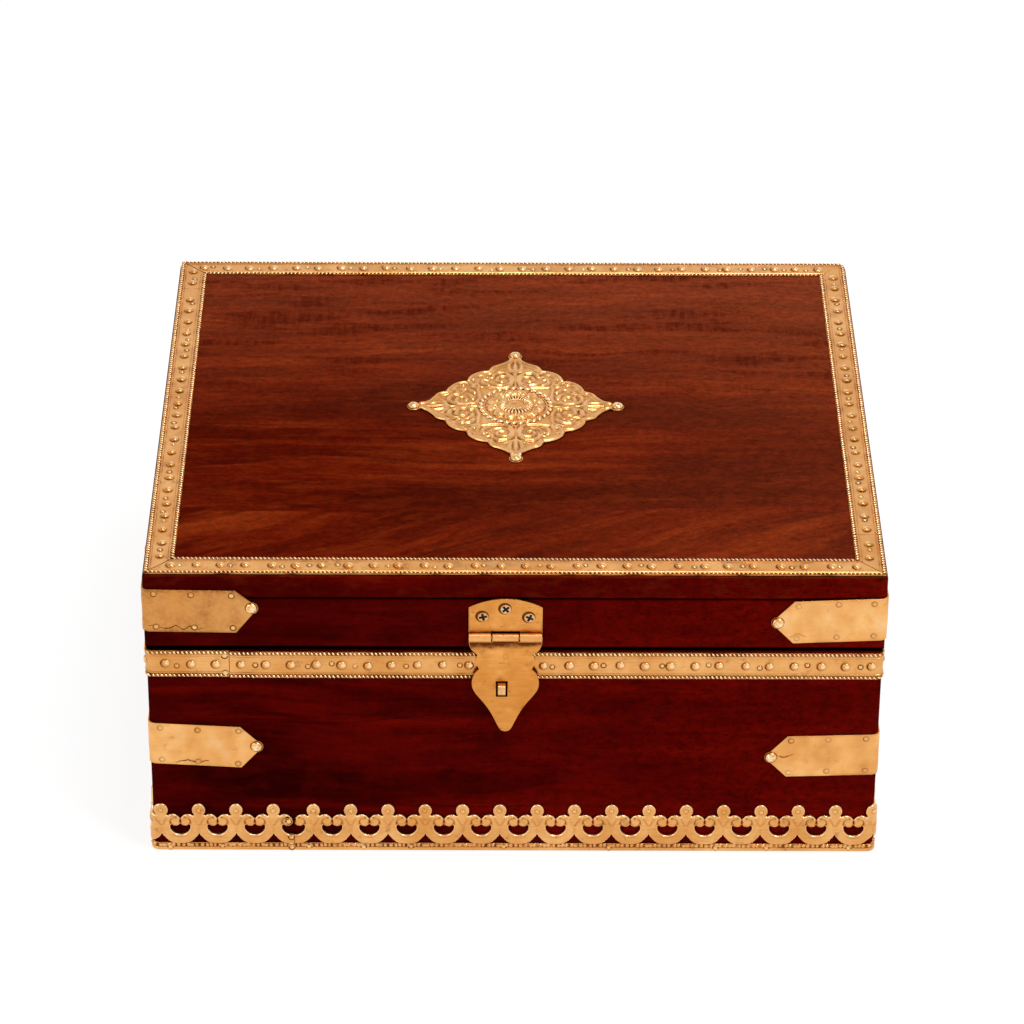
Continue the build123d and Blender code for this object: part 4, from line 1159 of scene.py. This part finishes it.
# Heights of the middle of a strap at its corner, where its point begins, and at its tip.
STRAP_HEIGHTS = {
    "base_front_left": (68.3, 65.7, 66.4),
    "base_front_right": (62.2, 60.8, 60.4),
    "base_back_left": (66.0, 65.0, 65.4),
    "base_back_right": (63.4, 64.4, 64.0),
    "lid_front_left": (150.7, 150.0, 152.4),
    "lid_front_right": (146.5, 144.5, 144.3),
    "lid_back_left": (148.2, 147.0, 147.4),
    "lid_back_right": (147.0, 147.8, 147.4),
}
STRAP_TONE = {"lid_front_left": 0.43, "base_front_right": 0.06, "lid_back_right": 0.15}
PIN_GRIME_AND_SHADE = {"lid_front_left": 0.9, "base_front_left": 1.15}
# Creases as (strap, side): (from, to, up from the lower edge, darkening), the darkening being soiling and
# painted shade in the crease
CREASES = {
    ("lid_front_left", 1): (2.5, 31.0, 2.9, 1.05),
    ("base_front_left", 1): (13.0, 31.0, 2.5, 0.85),
    ("lid_front_right", -1): (41.0, 50.5, 4.6, 0.50),
    ("base_front_right", -1): (44.0, 52.5, 13.4, 0.80),
    ("base_back_left", 1): (16.0, 36.0, 2.4, 0.70),
    ("lid_back_right", -1): (8.0, 24.0, 2.6, 0.70),
    ("lid_front_right", 1): (22.0, 38.0, 2.4, 0.60),
}
STRAP_PINS = (6.5, 25.6, 46.0)
STRAP_PIN_UP = 10.0
STRAP_PIN = (1.3, 0.4)       # radius and height
STRAP_WAVE, STRAP_RIPPLE = 0.24, 0.09   # how far its plate is out of flat, over long and short stretches
STRAP_NAIL_R = 3.2
STRAP_ROWS = 14              # of its mesh from edge to edge


def strap_at(distance, heights):
    """Height of the middle and half-width of a strap, at a distance from its corner."""
    corner, point, tip = heights
    if distance < STRAP_FLAT:
        return corner + (point - corner) * distance / STRAP_FLAT, STRAP_HALF
    part = (distance - STRAP_FLAT) / (STRAP_REACH - STRAP_FLAT)
    return point + (tip - point) * part, STRAP_HALF + (STRAP_TIP - STRAP_HALF) * part


def strap(where, heights, heads):
    """One strap with its pins and creases; its two nails go to heads."""
    body, turn = where.split("_", 1)
    wall = BASE_WALL if body == "base" else LID_WALL
    corner = wall.corner(CORNER_TURN[turn])
    rng = random.Random(where)
    seed = rng.uniform(0, 90)
    reach = STRAP_REACH - CORNER_TO_ARC
    columns = [side * reach * step / STRAP_STEPS for step in range(STRAP_STEPS + 1) for side in (-1, 1)]
    bend = [side * CORNER_R * math.pi / 4 * step / 3 for step in range(4) for side in (-1, 1)]
    ends = [side * (STRAP_FLAT - CORNER_TO_ARC) for side in (-1, 1)]
    columns = sorted(set([column for column in columns if abs(column) > CORNER_R] + bend + ends))

    def ground(along, up):
        column = along - corner
        middle, half = strap_at(abs(column) + CORNER_TO_ARC, heights)
        edge = min(1.0, max(0.0, half - abs(up - middle)) / 1.5)
        wave = noise.noise(Vector((column / 15, up / 8, seed))) * STRAP_WAVE
        ripple = noise.noise(Vector((column / 5, up / 4, seed + 5))) * STRAP_RIPPLE
        return STRAP_PLATE + (wave + ripple) * edge

    shape, pins, rows, dirt_and_painted_light = Shape(), Shape(), [], []
    tone = STRAP_TONE.get(where, 0.0)
    for column in columns:
        middle, half = strap_at(abs(column) + CORNER_TO_ARC, heights)
        along = corner + column
        ups = [middle + (half - 0.12) * (2 * step / STRAP_ROWS - 1) for step in range(STRAP_ROWS + 1)]
        foot, head = middle - half, middle + half
        row = [(along, foot, 0.0), (along, foot, STRAP_RIM)] + [(along, up, ground(along, up)) for up in ups]
        rows.append([*row, (along, head, STRAP_RIM), (along, head, 0.0)])
        blotches = [noise.fractal(Vector((along / 9, up / 12, seed + 9)), 1.0, 2.0, 4) for up in ups]
        marks = [tone + (0.13 if tone > 0.3 else 0.26) * blotch for blotch in blotches]
        marks[0] += 0.15
        marks[-1] += 0.15
        dirt_and_painted_light.append([0.8, 0.35, *marks, 0.35, 0.8])
    shape.grid(rows, dirt_and_painted_light=dirt_and_painted_light, ends=0.3)
    for side in (-1, 1):
        for distance in STRAP_PINS:
            middle, half = strap_at(distance, heights)
            for edge in (-1, 1):
                along = corner + side * (distance + rng.uniform(-0.8, 0.8) - CORNER_TO_ARC)
                up = middle + edge * (STRAP_PIN_UP + rng.uniform(-0.4, 0.4))
                # Each pin darkens round its foot, more on its left: soiling and painted shade.
                dark = rng.uniform(0.40, 0.75) * PIN_GRIME_AND_SHADE.get(where, 1.0)
                dome(pins, (along, up, ground(along, up) - 0.05), *STRAP_PIN, 14, 2, 0.5, dark, 0.0, 0.3)
                halo(pins, (along, up), 1.25, 2.1, dark, ground, 14, 0.35, tone)
        if (where, side) in CREASES:
            strap_crease(shape, corner, side, heights, ground, rng, *CREASES[where, side])
    shape.bend(wall)
    pins.bend(wall)
    shape.finish(f"strap_{where}_look", body, "plain_brass", [f"strap_{where}"], sharp=50)
    pins.finish(f"strap_{where}_pins", body, "nails")
    for side in (-1, 1):
        along = corner + side * (STRAP_REACH - NAIL_FROM_TIP - CORNER_TO_ARC)
        dome_nail(heads[body], wall, (along, heights[2], STRAP_PLATE), STRAP_NAIL_R)


def strap_crease(shape, corner, side, heights, ground, rng, low, high, lift, dirt_and_painted_light):
    """A crumpled line on a strap, darkened along it with soiling and painted shade in the crease."""
    spine, at, turn = [], low, rng.uniform(0, 6)
    while at < high:
        middle, half = strap_at(min(at, STRAP_FLAT), heights)
        up = middle - half + lift + 1.0 * math.sin(turn) + rng.uniform(-0.25, 0.25)
        spine.append((corner + side * (at - CORNER_TO_ARC), up))
        at += rng.uniform(0.9, 1.9)
        turn += rng.uniform(0.2, 1.4)
    rows, marks = [], []
    for index, (along, up) in enumerate(smooth(spine, 3)):
        part = index / (3 * len(spine))
        thick = 0.6 * math.sin(math.pi * (0.06 + 0.88 * part)) + 0.1
        edges = ((up + thick * side, out) for side, out in ((-1, 0.02), (0, 0.1), (1, 0.02)))
        rows.append([(along, at, ground(along, at) + out) for at, out in edges])
        marks.append([0.2 * dirt_and_painted_light, dirt_and_painted_light * rng.uniform(0.7, 1.2), 0.4 * dirt_and_painted_light])
    shape.grid(rows, dirt_and_painted_light=marks)


def dome_nail(shape, place, at, radius, high=2.1):
    """A dome-headed nail with a slightly flattened, hammered crown."""
    head = Shape()
    # Its foot darkens, mostly on its left, as painted shade.
    dome(head, at, radius, high, 24, 7, 0.6, 0.8, 0.0, 0.6)
    for index, (x, z, out) in enumerate(head.points):
        rise = (out - at[2]) / high
        hammered = noise.noise(Vector((x / 1.1, z / 1.1, out)))
        head.points[index] = (x, z, out + 0.22 * hammered * min(1.0, 2 * rise))
        # A painted highlight on the crown, mottled by the hammering, with painted shade in its dips.
        head.dirt_and_painted_light[index] += (-0.4 - 1.1 * hammered) * min(1.0, 1.6 * rise)
    # Painted shadow: a thin dark ring round the head, more on its left.
    halo(head, at, radius, radius + 0.3, 1.1, lambda x, z: at[2] + 0.05, 24, 0.4)
    head.bend(place)
    shape.add(head.points, head.faces, head.dirt_and_painted_light)


def straps():
    heads = {"base": Shape(), "lid": Shape()}
    for where, heights in STRAP_HEIGHTS.items():
        strap(where, heights, heads)
    for body, shape in heads.items():
        shape.finish(f"strap_{body}_nails_look", body, "nails", [f"strap_{body}_nails"])


# ---------------------------------------------------------------- medallion
MEDALLION_AT = (0.8, 2.2)
MEDALLION_NAIL = 55.3
MEDALLION_SHEET = 0.8
ROPE_RING = 18.9
ROPE_STRANDS = 31
EAR_AT = 55.0
EAR_R = 3.8
MEDALLION_NAIL_R = 3.25
RING_STRAND = (4.3, 2.4, 1.5)   # length, width and height of one strand of its rope ring
MEDALLION_RASTER = 0.2       # between the points of its relief
ROSETTE_R = 16.6
RAYS, RINGS = 640, 120       # of the medallion's mesh
# One eighth of the edge, from the foot of the ear at the tip to the middle cusp: (across, towards the tip).
EDGE_TO_EAR = ((2.9, 52.4), (3.4, 50.6), (5.6, 47.6), (9.2, 44.9), (13.0, 42.6), (15.2, 38.2))
EAR_TIP = (EDGE_TO_EAR[0][0] * 0.3, 53.6)
EDGE_LOBE = ((15.2, 38.2), (18.6, 37.2), (22.4, 35.0), (25.4, 31.4), (26.8, 26.8))
# Ornament of an eighth, in the same coordinates: lines with half-widths, leaves as (points, half-width,
# height) and pearls as (across, towards, radius).
SCROLL_BAND = (
    (18.6, 20.6, 0.35), (14.5, 19.9, 0.7), (10.0, 19.6, 0.85), (6.0, 20.0, 0.95), (2.9, 22.2, 1.0),
    (1.3, 26.6, 1.0), (2.0, 32.0, 1.1), (5.0, 35.7, 1.2), (9.2, 36.3, 1.15), (12.2, 34.0, 1.0),
    (12.6, 30.9, 0.8),
)
STEM_BAND = ((0, 20.6, 0.4), (0, 26.0, 0.5), (0, 31.0, 0.6), (0, 35.5, 0.9), (0, 38.4, 0.7))
LEAVES = (
    (((0, 37.6), (0, 43.0), (0, 49.6)), 1.35, 1.15),
    (((0.6, 36.2), (2.7, 39.6), (3.5, 43.4), (2.9, 46.6)), 1.25, 1.0),
    (((1.8, 37.0), (5.2, 38.6), (7.6, 40.6)), 1.1, 0.8),
    (((7.6, 23.2), (11.4, 24.0), (14.2, 27.0)), 1.2, 1.0),
    (((14.6, 22.4), (17.6, 25.2), (17.9, 29.6)), 1.5, 1.1),
    (((16.6, 34.4), (20.2, 33.2), (22.8, 30.0)), 1.3, 0.9),
    (((12.4, 38.4), (15.6, 35.0), (18.6, 31.4)), 0.9, 0.8),
    (((21.4, 21.8), (24.0, 24.4), (25.6, 28.0)), 1.0, 0.9),
    (((19.2, 20.0), (20.4, 23.4), (20.9, 26.6)), 1.0, 0.9),
)
PEARLS = ((20.9, 23.4, 1.3), (17.3, 29.2, 1.45), (22.8, 28.6, 1.2), (14.0, 36.6, 1.0), (7.6, 26.6, 1.3))


def turned(points, quarter):
    """Points in the plane, turned clockwise by quarters."""
    for _ in range(quarter):
        points = [(point[1], -point[0]) for point in points]
    return points


def curl(centre, start_r, end_r, start, end, half, steps=18):
    """A coil about a centre, from a start to an end angle in degrees, which thins inwards."""
    line = []
    for step in range(steps + 1):
        part = step / steps
        radius, angle = start_r + (end_r - start_r) * part, math.radians(start + (end - start) * part)
        spot = (centre[0] + radius * math.cos(angle), centre[1] + radius * math.sin(angle))
        line.append((*spot, half * (1 - 0.45 * part)))
    return line


def medallion_relief(eighth):
    """The ornament of a quarter, both halves at once, without the rosette."""
    relief = Relief((0.0, 58.0), (0.0, 58.0), MEDALLION_RASTER)
    grid = relief.px, relief.py
    relief.px, relief.py = np.minimum(*grid), np.maximum(*grid)
    for depth, half, high in ((1.1, 1.05, 1.4), (3.0, 0.5, 0.75)):
        relief.line(inset(eighth[::-1] + [(0.0, 0.0)], depth)[:-1], high, half, power=0.5)
    relief.line(SCROLL_BAND, 1.25, power=0.5)
    relief.line(STEM_BAND, 0.8)
    relief.line(curl((7.0, 28.4), 5.4, 1.7, 230, -120, 1.15), 1.1, power=0.5)
    relief.line(curl((15.6, 30.6), 2.6, 0.8, 330, 20, 0.8), 0.9, power=0.5)
    for points, half, high in LEAVES:
        relief.leaf(points, half, high)
    for pearl in PEARLS:
        relief.knob(*pearl, 1.15)
    relief.px, relief.py = grid
    relief.high = np.where(np.hypot(*grid) < ROPE_RING + 1.9, 0.0, relief.high)
    relief.ring(ROPE_RING + 1.55, 0.35, 0.4)
    relief.ring(ROPE_RING - 1.6, 0.35, 0.5)
    relief.soften(0.45)
    return relief


def rosette_height(x, y):
    """A domed flower: outer petals with veins, a ring of fins and a flat boss."""
    away, turn = np.hypot(x, y), np.arctan2(y, x)
    body = 1.15 * np.sqrt(np.clip(1 - np.clip(away / ROSETTE_R, 0, 1) ** 2, 0, 1))

    def petals(count, low, high, rise, shift=0.0):
        lobe = np.abs(np.sin((turn + shift) * count / 2))
        reach = low + (high - low) * (0.55 + 0.45 * lobe)
        along = np.clip((away - low) / (reach - low), 0, 1)
        petal = rise * np.sin(math.pi * along**1.5) * (away < reach) * (away > low)
        return petal * np.clip(lobe * 1.6, 0, 1) ** 0.5

    def ridge(middle, half, power=0.5):
        return np.clip(1 - ((away - middle) / half) ** 2, 0, 1) ** power

    flower = np.maximum(petals(12, 9.4, 16.4, 1.6), petals(12, 9.0, 13.4, 1.2, math.pi / 12))
    fins = 1.2 * (np.abs(np.cos(turn * 14)) ** 0.8) * ridge(7.4, 2.2)
    rings = (0.55 * ridge(0.0, 5.2, 0.3), 0.9 * ridge(5.1, 0.45), 0.45 * ridge(16.3, 0.5))
    return body + np.maximum.reduce([flower, fins, *rings])


def ray_reach(outline, angle):
    """How far the outline is from the middle in one direction."""
    run = (math.cos(angle), math.sin(angle))
    best = 0.0
    for (x0, y0), (x1, y1) in zip(outline, outline[1:] + outline[:1]):
        side_0, side_1 = x0 * run[1] - y0 * run[0], x1 * run[1] - y1 * run[0]
        if (side_0 <= 0) != (side_1 <= 0):
            t = side_0 / (side_0 - side_1)
            best = max(best, (x0 + (x1 - x0) * t) * run[0] + (y0 + (y1 - y0) * t) * run[1])
    return best


def medallion():
    eighth = smooth(EDGE_TO_EAR, 5)[:-1] + smooth(EDGE_LOBE, 5)
    quarter = [(-EAR_TIP[0], EAR_TIP[1]), EAR_TIP] + eighth + [(y, x) for x, y in reversed(eighth[:-1])]
    outline = [spot for turn in range(4) for spot in turned(quarter, turn)]
    relief = medallion_relief(eighth)
    # Hollows of the relief take tarnishing and painted shade; its crests are a little rubbed bright, as wear
    # and painted highlight.
    hollows = np.clip(relief.hollows(0.8, 1.4) + relief.hollows(1.6, 0.6), -0.13, 0.95)
    corners = [math.atan2(y, x) + nudge for nudge in (1e-5, -1e-5) for x, y in outline]
    angles = np.array(sorted([angle - math.pi for angle in round_angles(RAYS)] + corners))
    reach = np.array([ray_reach(outline, angle) for angle in angles])
    parts = np.array([(ring + 0.5) / RINGS for ring in range(RINGS)] + [1.0])
    away = reach[None, :] * parts[:, None]
    x, y = away * np.cos(angles)[None, :], away * np.sin(angles)[None, :]
    wobble = [noise.noise(Vector((px / 9, py / 9, 2.0))) for px, py in zip(x.flat, y.flat)]
    wobble = np.array(wobble).reshape(x.shape)
    seen_x, seen_y = np.abs(x + wobble * 0.5), np.abs(y - wobble * 0.5)
    brink = 0.25 + 0.75 * np.clip((reach[None, :] - away) * 0.8 / 0.5, 0, 1) ** 0.5
    high = relief.read(relief.high, seen_x, seen_y) * brink
    flower = rosette_height(x, y)
    beside = sum(rosette_height(x + dx, y + dy) for dx, dy in ((0.6, 0), (-0.6, 0), (0, 0.6), (0, -0.6))) / 4
    # In the rosette: tarnishing and painted shade in its hollows and in a ring round its rim, and painted
    # highlight on its crests.
    flower_dirt_and_painted_light = np.clip((beside - flower) * 1.6, -0.42, 0.9) + 0.8 * (away > 15.9)
    in_rosette = away < ROSETTE_R
    high = np.where(in_rosette, flower, high) + wobble * 0.08
    dirt_and_painted_light = np.where(in_rosette, flower_dirt_and_painted_light, relief.read(hollows, seen_x, seen_y))
    shape = Shape()
    rows = [list(zip(*row)) for row in zip(x, y, MEDALLION_SHEET + high)]
    shape.grid(rows, closed=True, dirt_and_painted_light=[list(row) for row in dirt_and_painted_light])
    shape.grid([rows[-1], [(px, py, 0.0) for px, py, out in rows[-1]]], closed=True, dirt_and_painted_light=[0.3, 0.9])
    shape.add(rows[0], [range(len(rows[0]))])
    for angle in round_angles(ROPE_STRANDS):
        spot = (ROPE_RING * math.cos(angle), ROPE_RING * math.sin(angle), MEDALLION_SHEET)
        strand(shape, spot, (-math.sin(angle), math.cos(angle)), math.radians(36), *RING_STRAND, 0.9)

    def place(px, py, out):
        return (px + MEDALLION_AT[0], py + MEDALLION_AT[1], LID_TOP + out)

    nails, ground = Shape(), MEDALLION_SHEET + 0.15
    for turn in range(4):
        ear, nail = turned([(0, EAR_AT), (0, MEDALLION_NAIL)], turn)
        plate(shape, circle(*ear, EAR_R, 32), (), 0.0, ground, 0.3)
        dome_nail(nails, place, (*nail, ground), MEDALLION_NAIL_R)
    shape.bend(place)
    shape.finish("medallion_look", "lid", "embossed_brass", ["medallion"], sharp=60)
    nails.finish("medallion_nails_look", "lid", "nails", ["medallion_nails"])


# ---------------------------------------------------------------- hasp
HASP_X = -4.8
HASP_HALF = 19.0
HINGE_Y, HINGE_Z = -171.3, 136.2
KNUCKLE_R = 2.4
KNUCKLE_GAP = 7.3            # half of what the leaf leaves open for the plate's knuckle
LEAF_THICK = 1.3
SHEET_EDGE = 0.28            # radius of the hasp's edges
PLATE_FACE_Y = -170.1
SHOULDER_Z, CROWN_Z = 153.5, 158.6
SCREWS = ((-11.6, 147.7, 12), (0.1, 152.4, 40), (12.3, 147.2, 65))     # x from the middle, z and turn
SCREW_R = 2.85
FILM = 0.015                 # a mark's height over the sheet
SLOT = ((-4.8, 1.1), (99.7, 109.2))
PUNCH_MARK = (0.2, 124.6, 1.25)
# The plate's right side in three stretches, which meet in corners.
PLATE_EDGE = (
    ((19.0, 133.5), (18.4, 130.6), (17.1, 128.0), (14.4, 125.4)),
    ((14.4, 125.4), (15.1, 123.2), (15.3, 120.6), (13.6, 116.5)),
    (
        (13.6, 116.5), (15.7, 114.2), (17.0, 111.0), (17.4, 107.6), (16.7, 104.0), (14.6, 100.4),
        (11.2, 95.8), (8.0, 90.6), (5.2, 84.6), (3.3, 80.3), (1.8, 78.5), (0.0, 78.0),
    ),
)
# Scratches as (x, z, length).
LEAF_SCRATCHES = (
    (11.0, 153.2, 4.4), (15.2, 149.6, 2.6), (15.6, 144.2, 2.0), (-3.0, 141.6, 3.6), (-17.6, 150.4, 2.6)
)
PLATE_SCRATCHES = ((-3.6, 120.4, 4.6), (1.0, 119.8, 2.0), (13.2, 125.2, 1.6), (-8.0, 96.8, 3.0))


def cross(x, z, turn, long=2.0, wide=0.52):
    """The outline of a screw's cross."""
    points = []
    for quarter in range(4):
        angle = math.radians(90 * quarter + turn)
        for px, pz in ((long, -wide), (long, wide), (wide, wide)):
            turned_x = px * math.cos(angle) - pz * math.sin(angle)
            points.append((x + turned_x, z + px * math.sin(angle) + pz * math.cos(angle)))
    return points


def hasp_place(face_y):
    return lambda x, z, out: (HASP_X + x, face_y - out, z)


def knuckle(shape, low, high, radius=KNUCKLE_R, edge=0.25):
    """A round knuckle of the hasp's hinge, softened at its ends, which darken as painted shade, with a faint
    painted highlight along it.
    """
    rows = []
    for x, wide in ((low, radius - edge), (low + edge, radius), (high - edge, radius), (high, radius - edge)):
        section = [(wide * math.cos(angle), wide * math.sin(angle)) for angle in round_angles(24)]
        rows.append([(HASP_X + x, HINGE_Y - out, HINGE_Z + up) for out, up in section])
    shape.grid(rows, closed=True, dirt_and_painted_light=[0.8, -0.12, -0.12, 0.8], ends=0.8)


def scratches(shape, places):
    """Short dirty scratches on the hasp."""
    for x, z, long in places:
        mark = [
            [
                (x + long * part, z + side * 0.42 * (1 - part) + 0.3 * math.sin(4 * part), LEAF_THICK + FILM)
                for part in (0.0, 0.3, 0.7, 1.0)
            ]
            for side in (-1, 0, 1)
        ]
        shape.grid(mark, dirt_and_painted_light=[[0.0] * 4, [0.3, 1.0, 0.7, 0.3], [0.0] * 4])


def hasp_leaf():
    rise = CROWN_Z - SHOULDER_Z
    radius = (HASP_HALF**2 + rise**2) / (2 * rise)
    top = math.degrees(math.asin(HASP_HALF / radius))
    turns = [math.radians(top * (1 - step / 8)) for step in range(17)]
    outline = [(HASP_HALF, HINGE_Z)]
    outline += [(radius * math.sin(turn), CROWN_Z - radius + radius * math.cos(turn)) for turn in turns]
    outline += [(-HASP_HALF, HINGE_Z), (-KNUCKLE_GAP, HINGE_Z), (-KNUCKLE_GAP, 139.0), (KNUCKLE_GAP, 139.0)]
    outline.append((KNUCKLE_GAP, HINGE_Z))

    def stain_and_shade(x, z):
        smear = noise.fractal(Vector((x / 7, z / 5, 4.0)), 1.0, 2.0, 4)
        # Smears, and painted shade darkening the leaf just above the knuckles.
        return 0.1 + 0.26 * smear + 0.5 * max(0.0, 1 - (z - 138.6) / 2.2)

    shape, heads, dirt_and_painted_light = Shape(), Shape(), Shape()
    holes = [circle(x, z, SCREW_R + 0.15) for x, z, turn in SCREWS]
    plate(shape, outline, holes, 0.0, LEAF_THICK, SHEET_EDGE, stain_and_shade)
    scratches(shape, LEAF_SCRATCHES)
    for x, z, turn in SCREWS:
        # Painted shadow round each screw, shifted towards its upper left.
        halo(shape, (x - 0.5, z + 0.5), SCREW_R - 0.3, SCREW_R + 1.0, 1.4, lambda px, pz: LEAF_THICK, 24)
        plate(heads, circle(x, z, SCREW_R), [cross(x, z, turn)], 0.2, 1.55, 0.45)
        # A near-black disc under each cross: painted shade in the recess.
        dirt_and_painted_light.add([(*point, 0.5) for point in circle(x, z, SCREW_R - 0.3)], [range(28)])
    for piece in (shape, heads, dirt_and_painted_light):
        piece.bend(hasp_place(Y_LID[0]))
    knuckle(shape, -HASP_HALF, -KNUCKLE_GAP)
    knuckle(shape, KNUCKLE_GAP, HASP_HALF)
    shape.finish("hasp_leaf_look", "lid", "plain_brass", ["hasp_leaf"], 35, "hasp_brass")
    heads.finish("hasp_screws_look", "lid", "screws", ["hasp_screws"], 35)
    dirt_and_painted_light.finish("hasp_screw_recesses", "lid", "screws", look="screw_recess")


def hasp_plate():
    right = [spot for stretch in PLATE_EDGE for spot in smooth(stretch, 3)[:-1]] + [PLATE_EDGE[-1][-1]]
    tab = [(-7.0, 133.5), (-7.0, 135.0), (7.0, 135.0), (7.0, 133.5)]
    outline = right + [(-x, z) for x, z in reversed(right[:-1])] + tab

    def stain_and_shade(x, z):
        smear = noise.fractal(Vector((x / 8, z / 3, 7.0)), 1.0, 2.0, 4)
        # Painted shadow under the knuckles, reaching further down on the left.
        under = 0.95 * max(0.0, 1 - max(0.0, 132.6 - z) / (4.4 - 0.12 * x))
        over_slot = 0.5 * max(0.0, 1 - math.hypot(x + 3.0, (z - 111.0) / 0.8) / 3.0)
        lower = 0.14 * min(1.0, max(0.0, (116 - z) / 20))
        return 0.08 + 0.24 * smear + under + over_slot + lower

    shape = Shape()
    plate(shape, outline, [rectangle(*SLOT)], 0.0, LEAF_THICK, SHEET_EDGE, stain_and_shade)
    x, z, radius = PUNCH_MARK
    rings = [circle(x, z, radius + step, 20) for step in (-0.35, 0.0, 0.35)]
    rings = [[(*spot, LEAF_THICK + FILM) for spot in ring] for ring in rings]
    shape.grid(rings, closed=True, dirt_and_painted_light=[0.0, 0.55, 0.0])
    scratches(shape, PLATE_SCRATCHES)
    shape.bend(hasp_place(PLATE_FACE_Y))
    knuckle(shape, -6.9, 6.9, KNUCKLE_R - 0.3)
    shape.finish("hasp_plate_look", "hasp", "plain_brass", ["hasp_plate"], 35, "hasp_brass")


# ---------------------------------------------------------------- floor, light and camera
SHADOW_KEPT = 0.26
FLOOR_WHITE = 0.84
FLOOR_HALF = 6.0
ROOM_LIGHT = 0.42
ROOM_CEILING = 0.6           # what shiny metal shows of it overhead
CAMERA_AT = (-0.0147, -2.1089, 1.3957)
CAMERA_TURN = (58.573, -0.318, -0.184)
CAMERA_LENS = 158.2
SENSOR = 36.0


def seen(n):
    """1 for what the camera sees straight or in a reflection, and 0 for the light that reaches the object."""
    path = n.add("LightPath").outputs
    mirrored = n.maths("MAXIMUM", path["Is Glossy Ray"], path["Is Transmission Ray"])
    return n.maths("MAXIMUM", path["Is Camera Ray"], mirrored)


def floor():
    """A matt pale floor that shows as white and keeps a soft part of the object's shadow."""
    n = Nodes("floor")
    grain = n.noise((3,) * 3)
    n.surface(Base_Color=n.ramp(grain, (0.3, 0.79), (0.7, 0.80)), Roughness=0.9, Specular_IOR_Level=0.0)
    both, pick = n.add("AddShader"), n.add("MixShader", Fac=seen(n))
    shown = n.add("BsdfDiffuse", Color=n.ramp(grain, (0.3, SHADOW_KEPT - 0.01), (0.7, SHADOW_KEPT)))
    n.put(both.inputs[0], shown.outputs[0])
    n.put(both.inputs[1], n.add("Emission", Strength=FLOOR_WHITE).outputs[0])
    n.put(pick.inputs[1], n.shader.outputs[0])
    n.put(pick.inputs[2], both.outputs[0])
    n.put(n.tree.nodes["Material Output"].inputs["Surface"], pick.outputs[0])
    mesh = bpy.data.meshes.new("floor")
    span = (-FLOOR_HALF, FLOOR_HALF)
    mesh.from_pydata([(*spot, 0) for spot in rectangle(span, span)], [], [(0, 1, 2, 3)])
    mesh.materials.append(n.owner)
    linked("floor", mesh)


def lamp(name, at, aim, size, power):
    data = bpy.data.lights.new(name, "AREA")
    data.shape = "RECTANGLE"
    data.size, data.size_y = size
    data.energy = power
    piece = linked(name, data)
    piece.location = at
    piece.rotation_euler = (Vector(aim) - Vector(at)).to_track_quat("-Z", "Y").to_euler()


def studio():
    n = Nodes("studio", "worlds")
    sky = n.span(n.parts(n.coordinates["Generated"])["Z"], 0.58, 0.85, ROOM_CEILING, 1.0)
    level = n.span(seen(n), 0.0, 1.0, sky, ROOM_LIGHT)
    bpy.context.scene.world = n.surface(Color=(1, 1, 1, 1), Strength=level)
    lamp("key", (1.0, -1.0, 1.8), (0, 0, 0.1), (0.6, 0.6), 11)
    lamp("fill", (-1.5, -1.2, 1.2), (0, 0, 0.1), (0.9, 0.9), 5)
    lamp("top", (0.2, 0.05, 2.0), (0, 0, 0.15), (0.8, 0.6), 11)


def camera():
    data = bpy.data.cameras.new("camera")
    data.lens, data.sensor_width = CAMERA_LENS, SENSOR
    data.clip_start, data.clip_end = 0.05, 30.0
    view = linked("camera", data)
    view.location = CAMERA_AT
    view.rotation_euler = [math.radians(angle) for angle in CAMERA_TURN]
    bpy.context.scene.camera = view


carcass_boards()
lid_boards()
top_strips()
rim_strips()
gallery()
straps()
medallion()
hasp_leaf()
hasp_plate()
floor()
studio()
camera()
bpy.context.scene.view_settings.view_transform = "Standard"
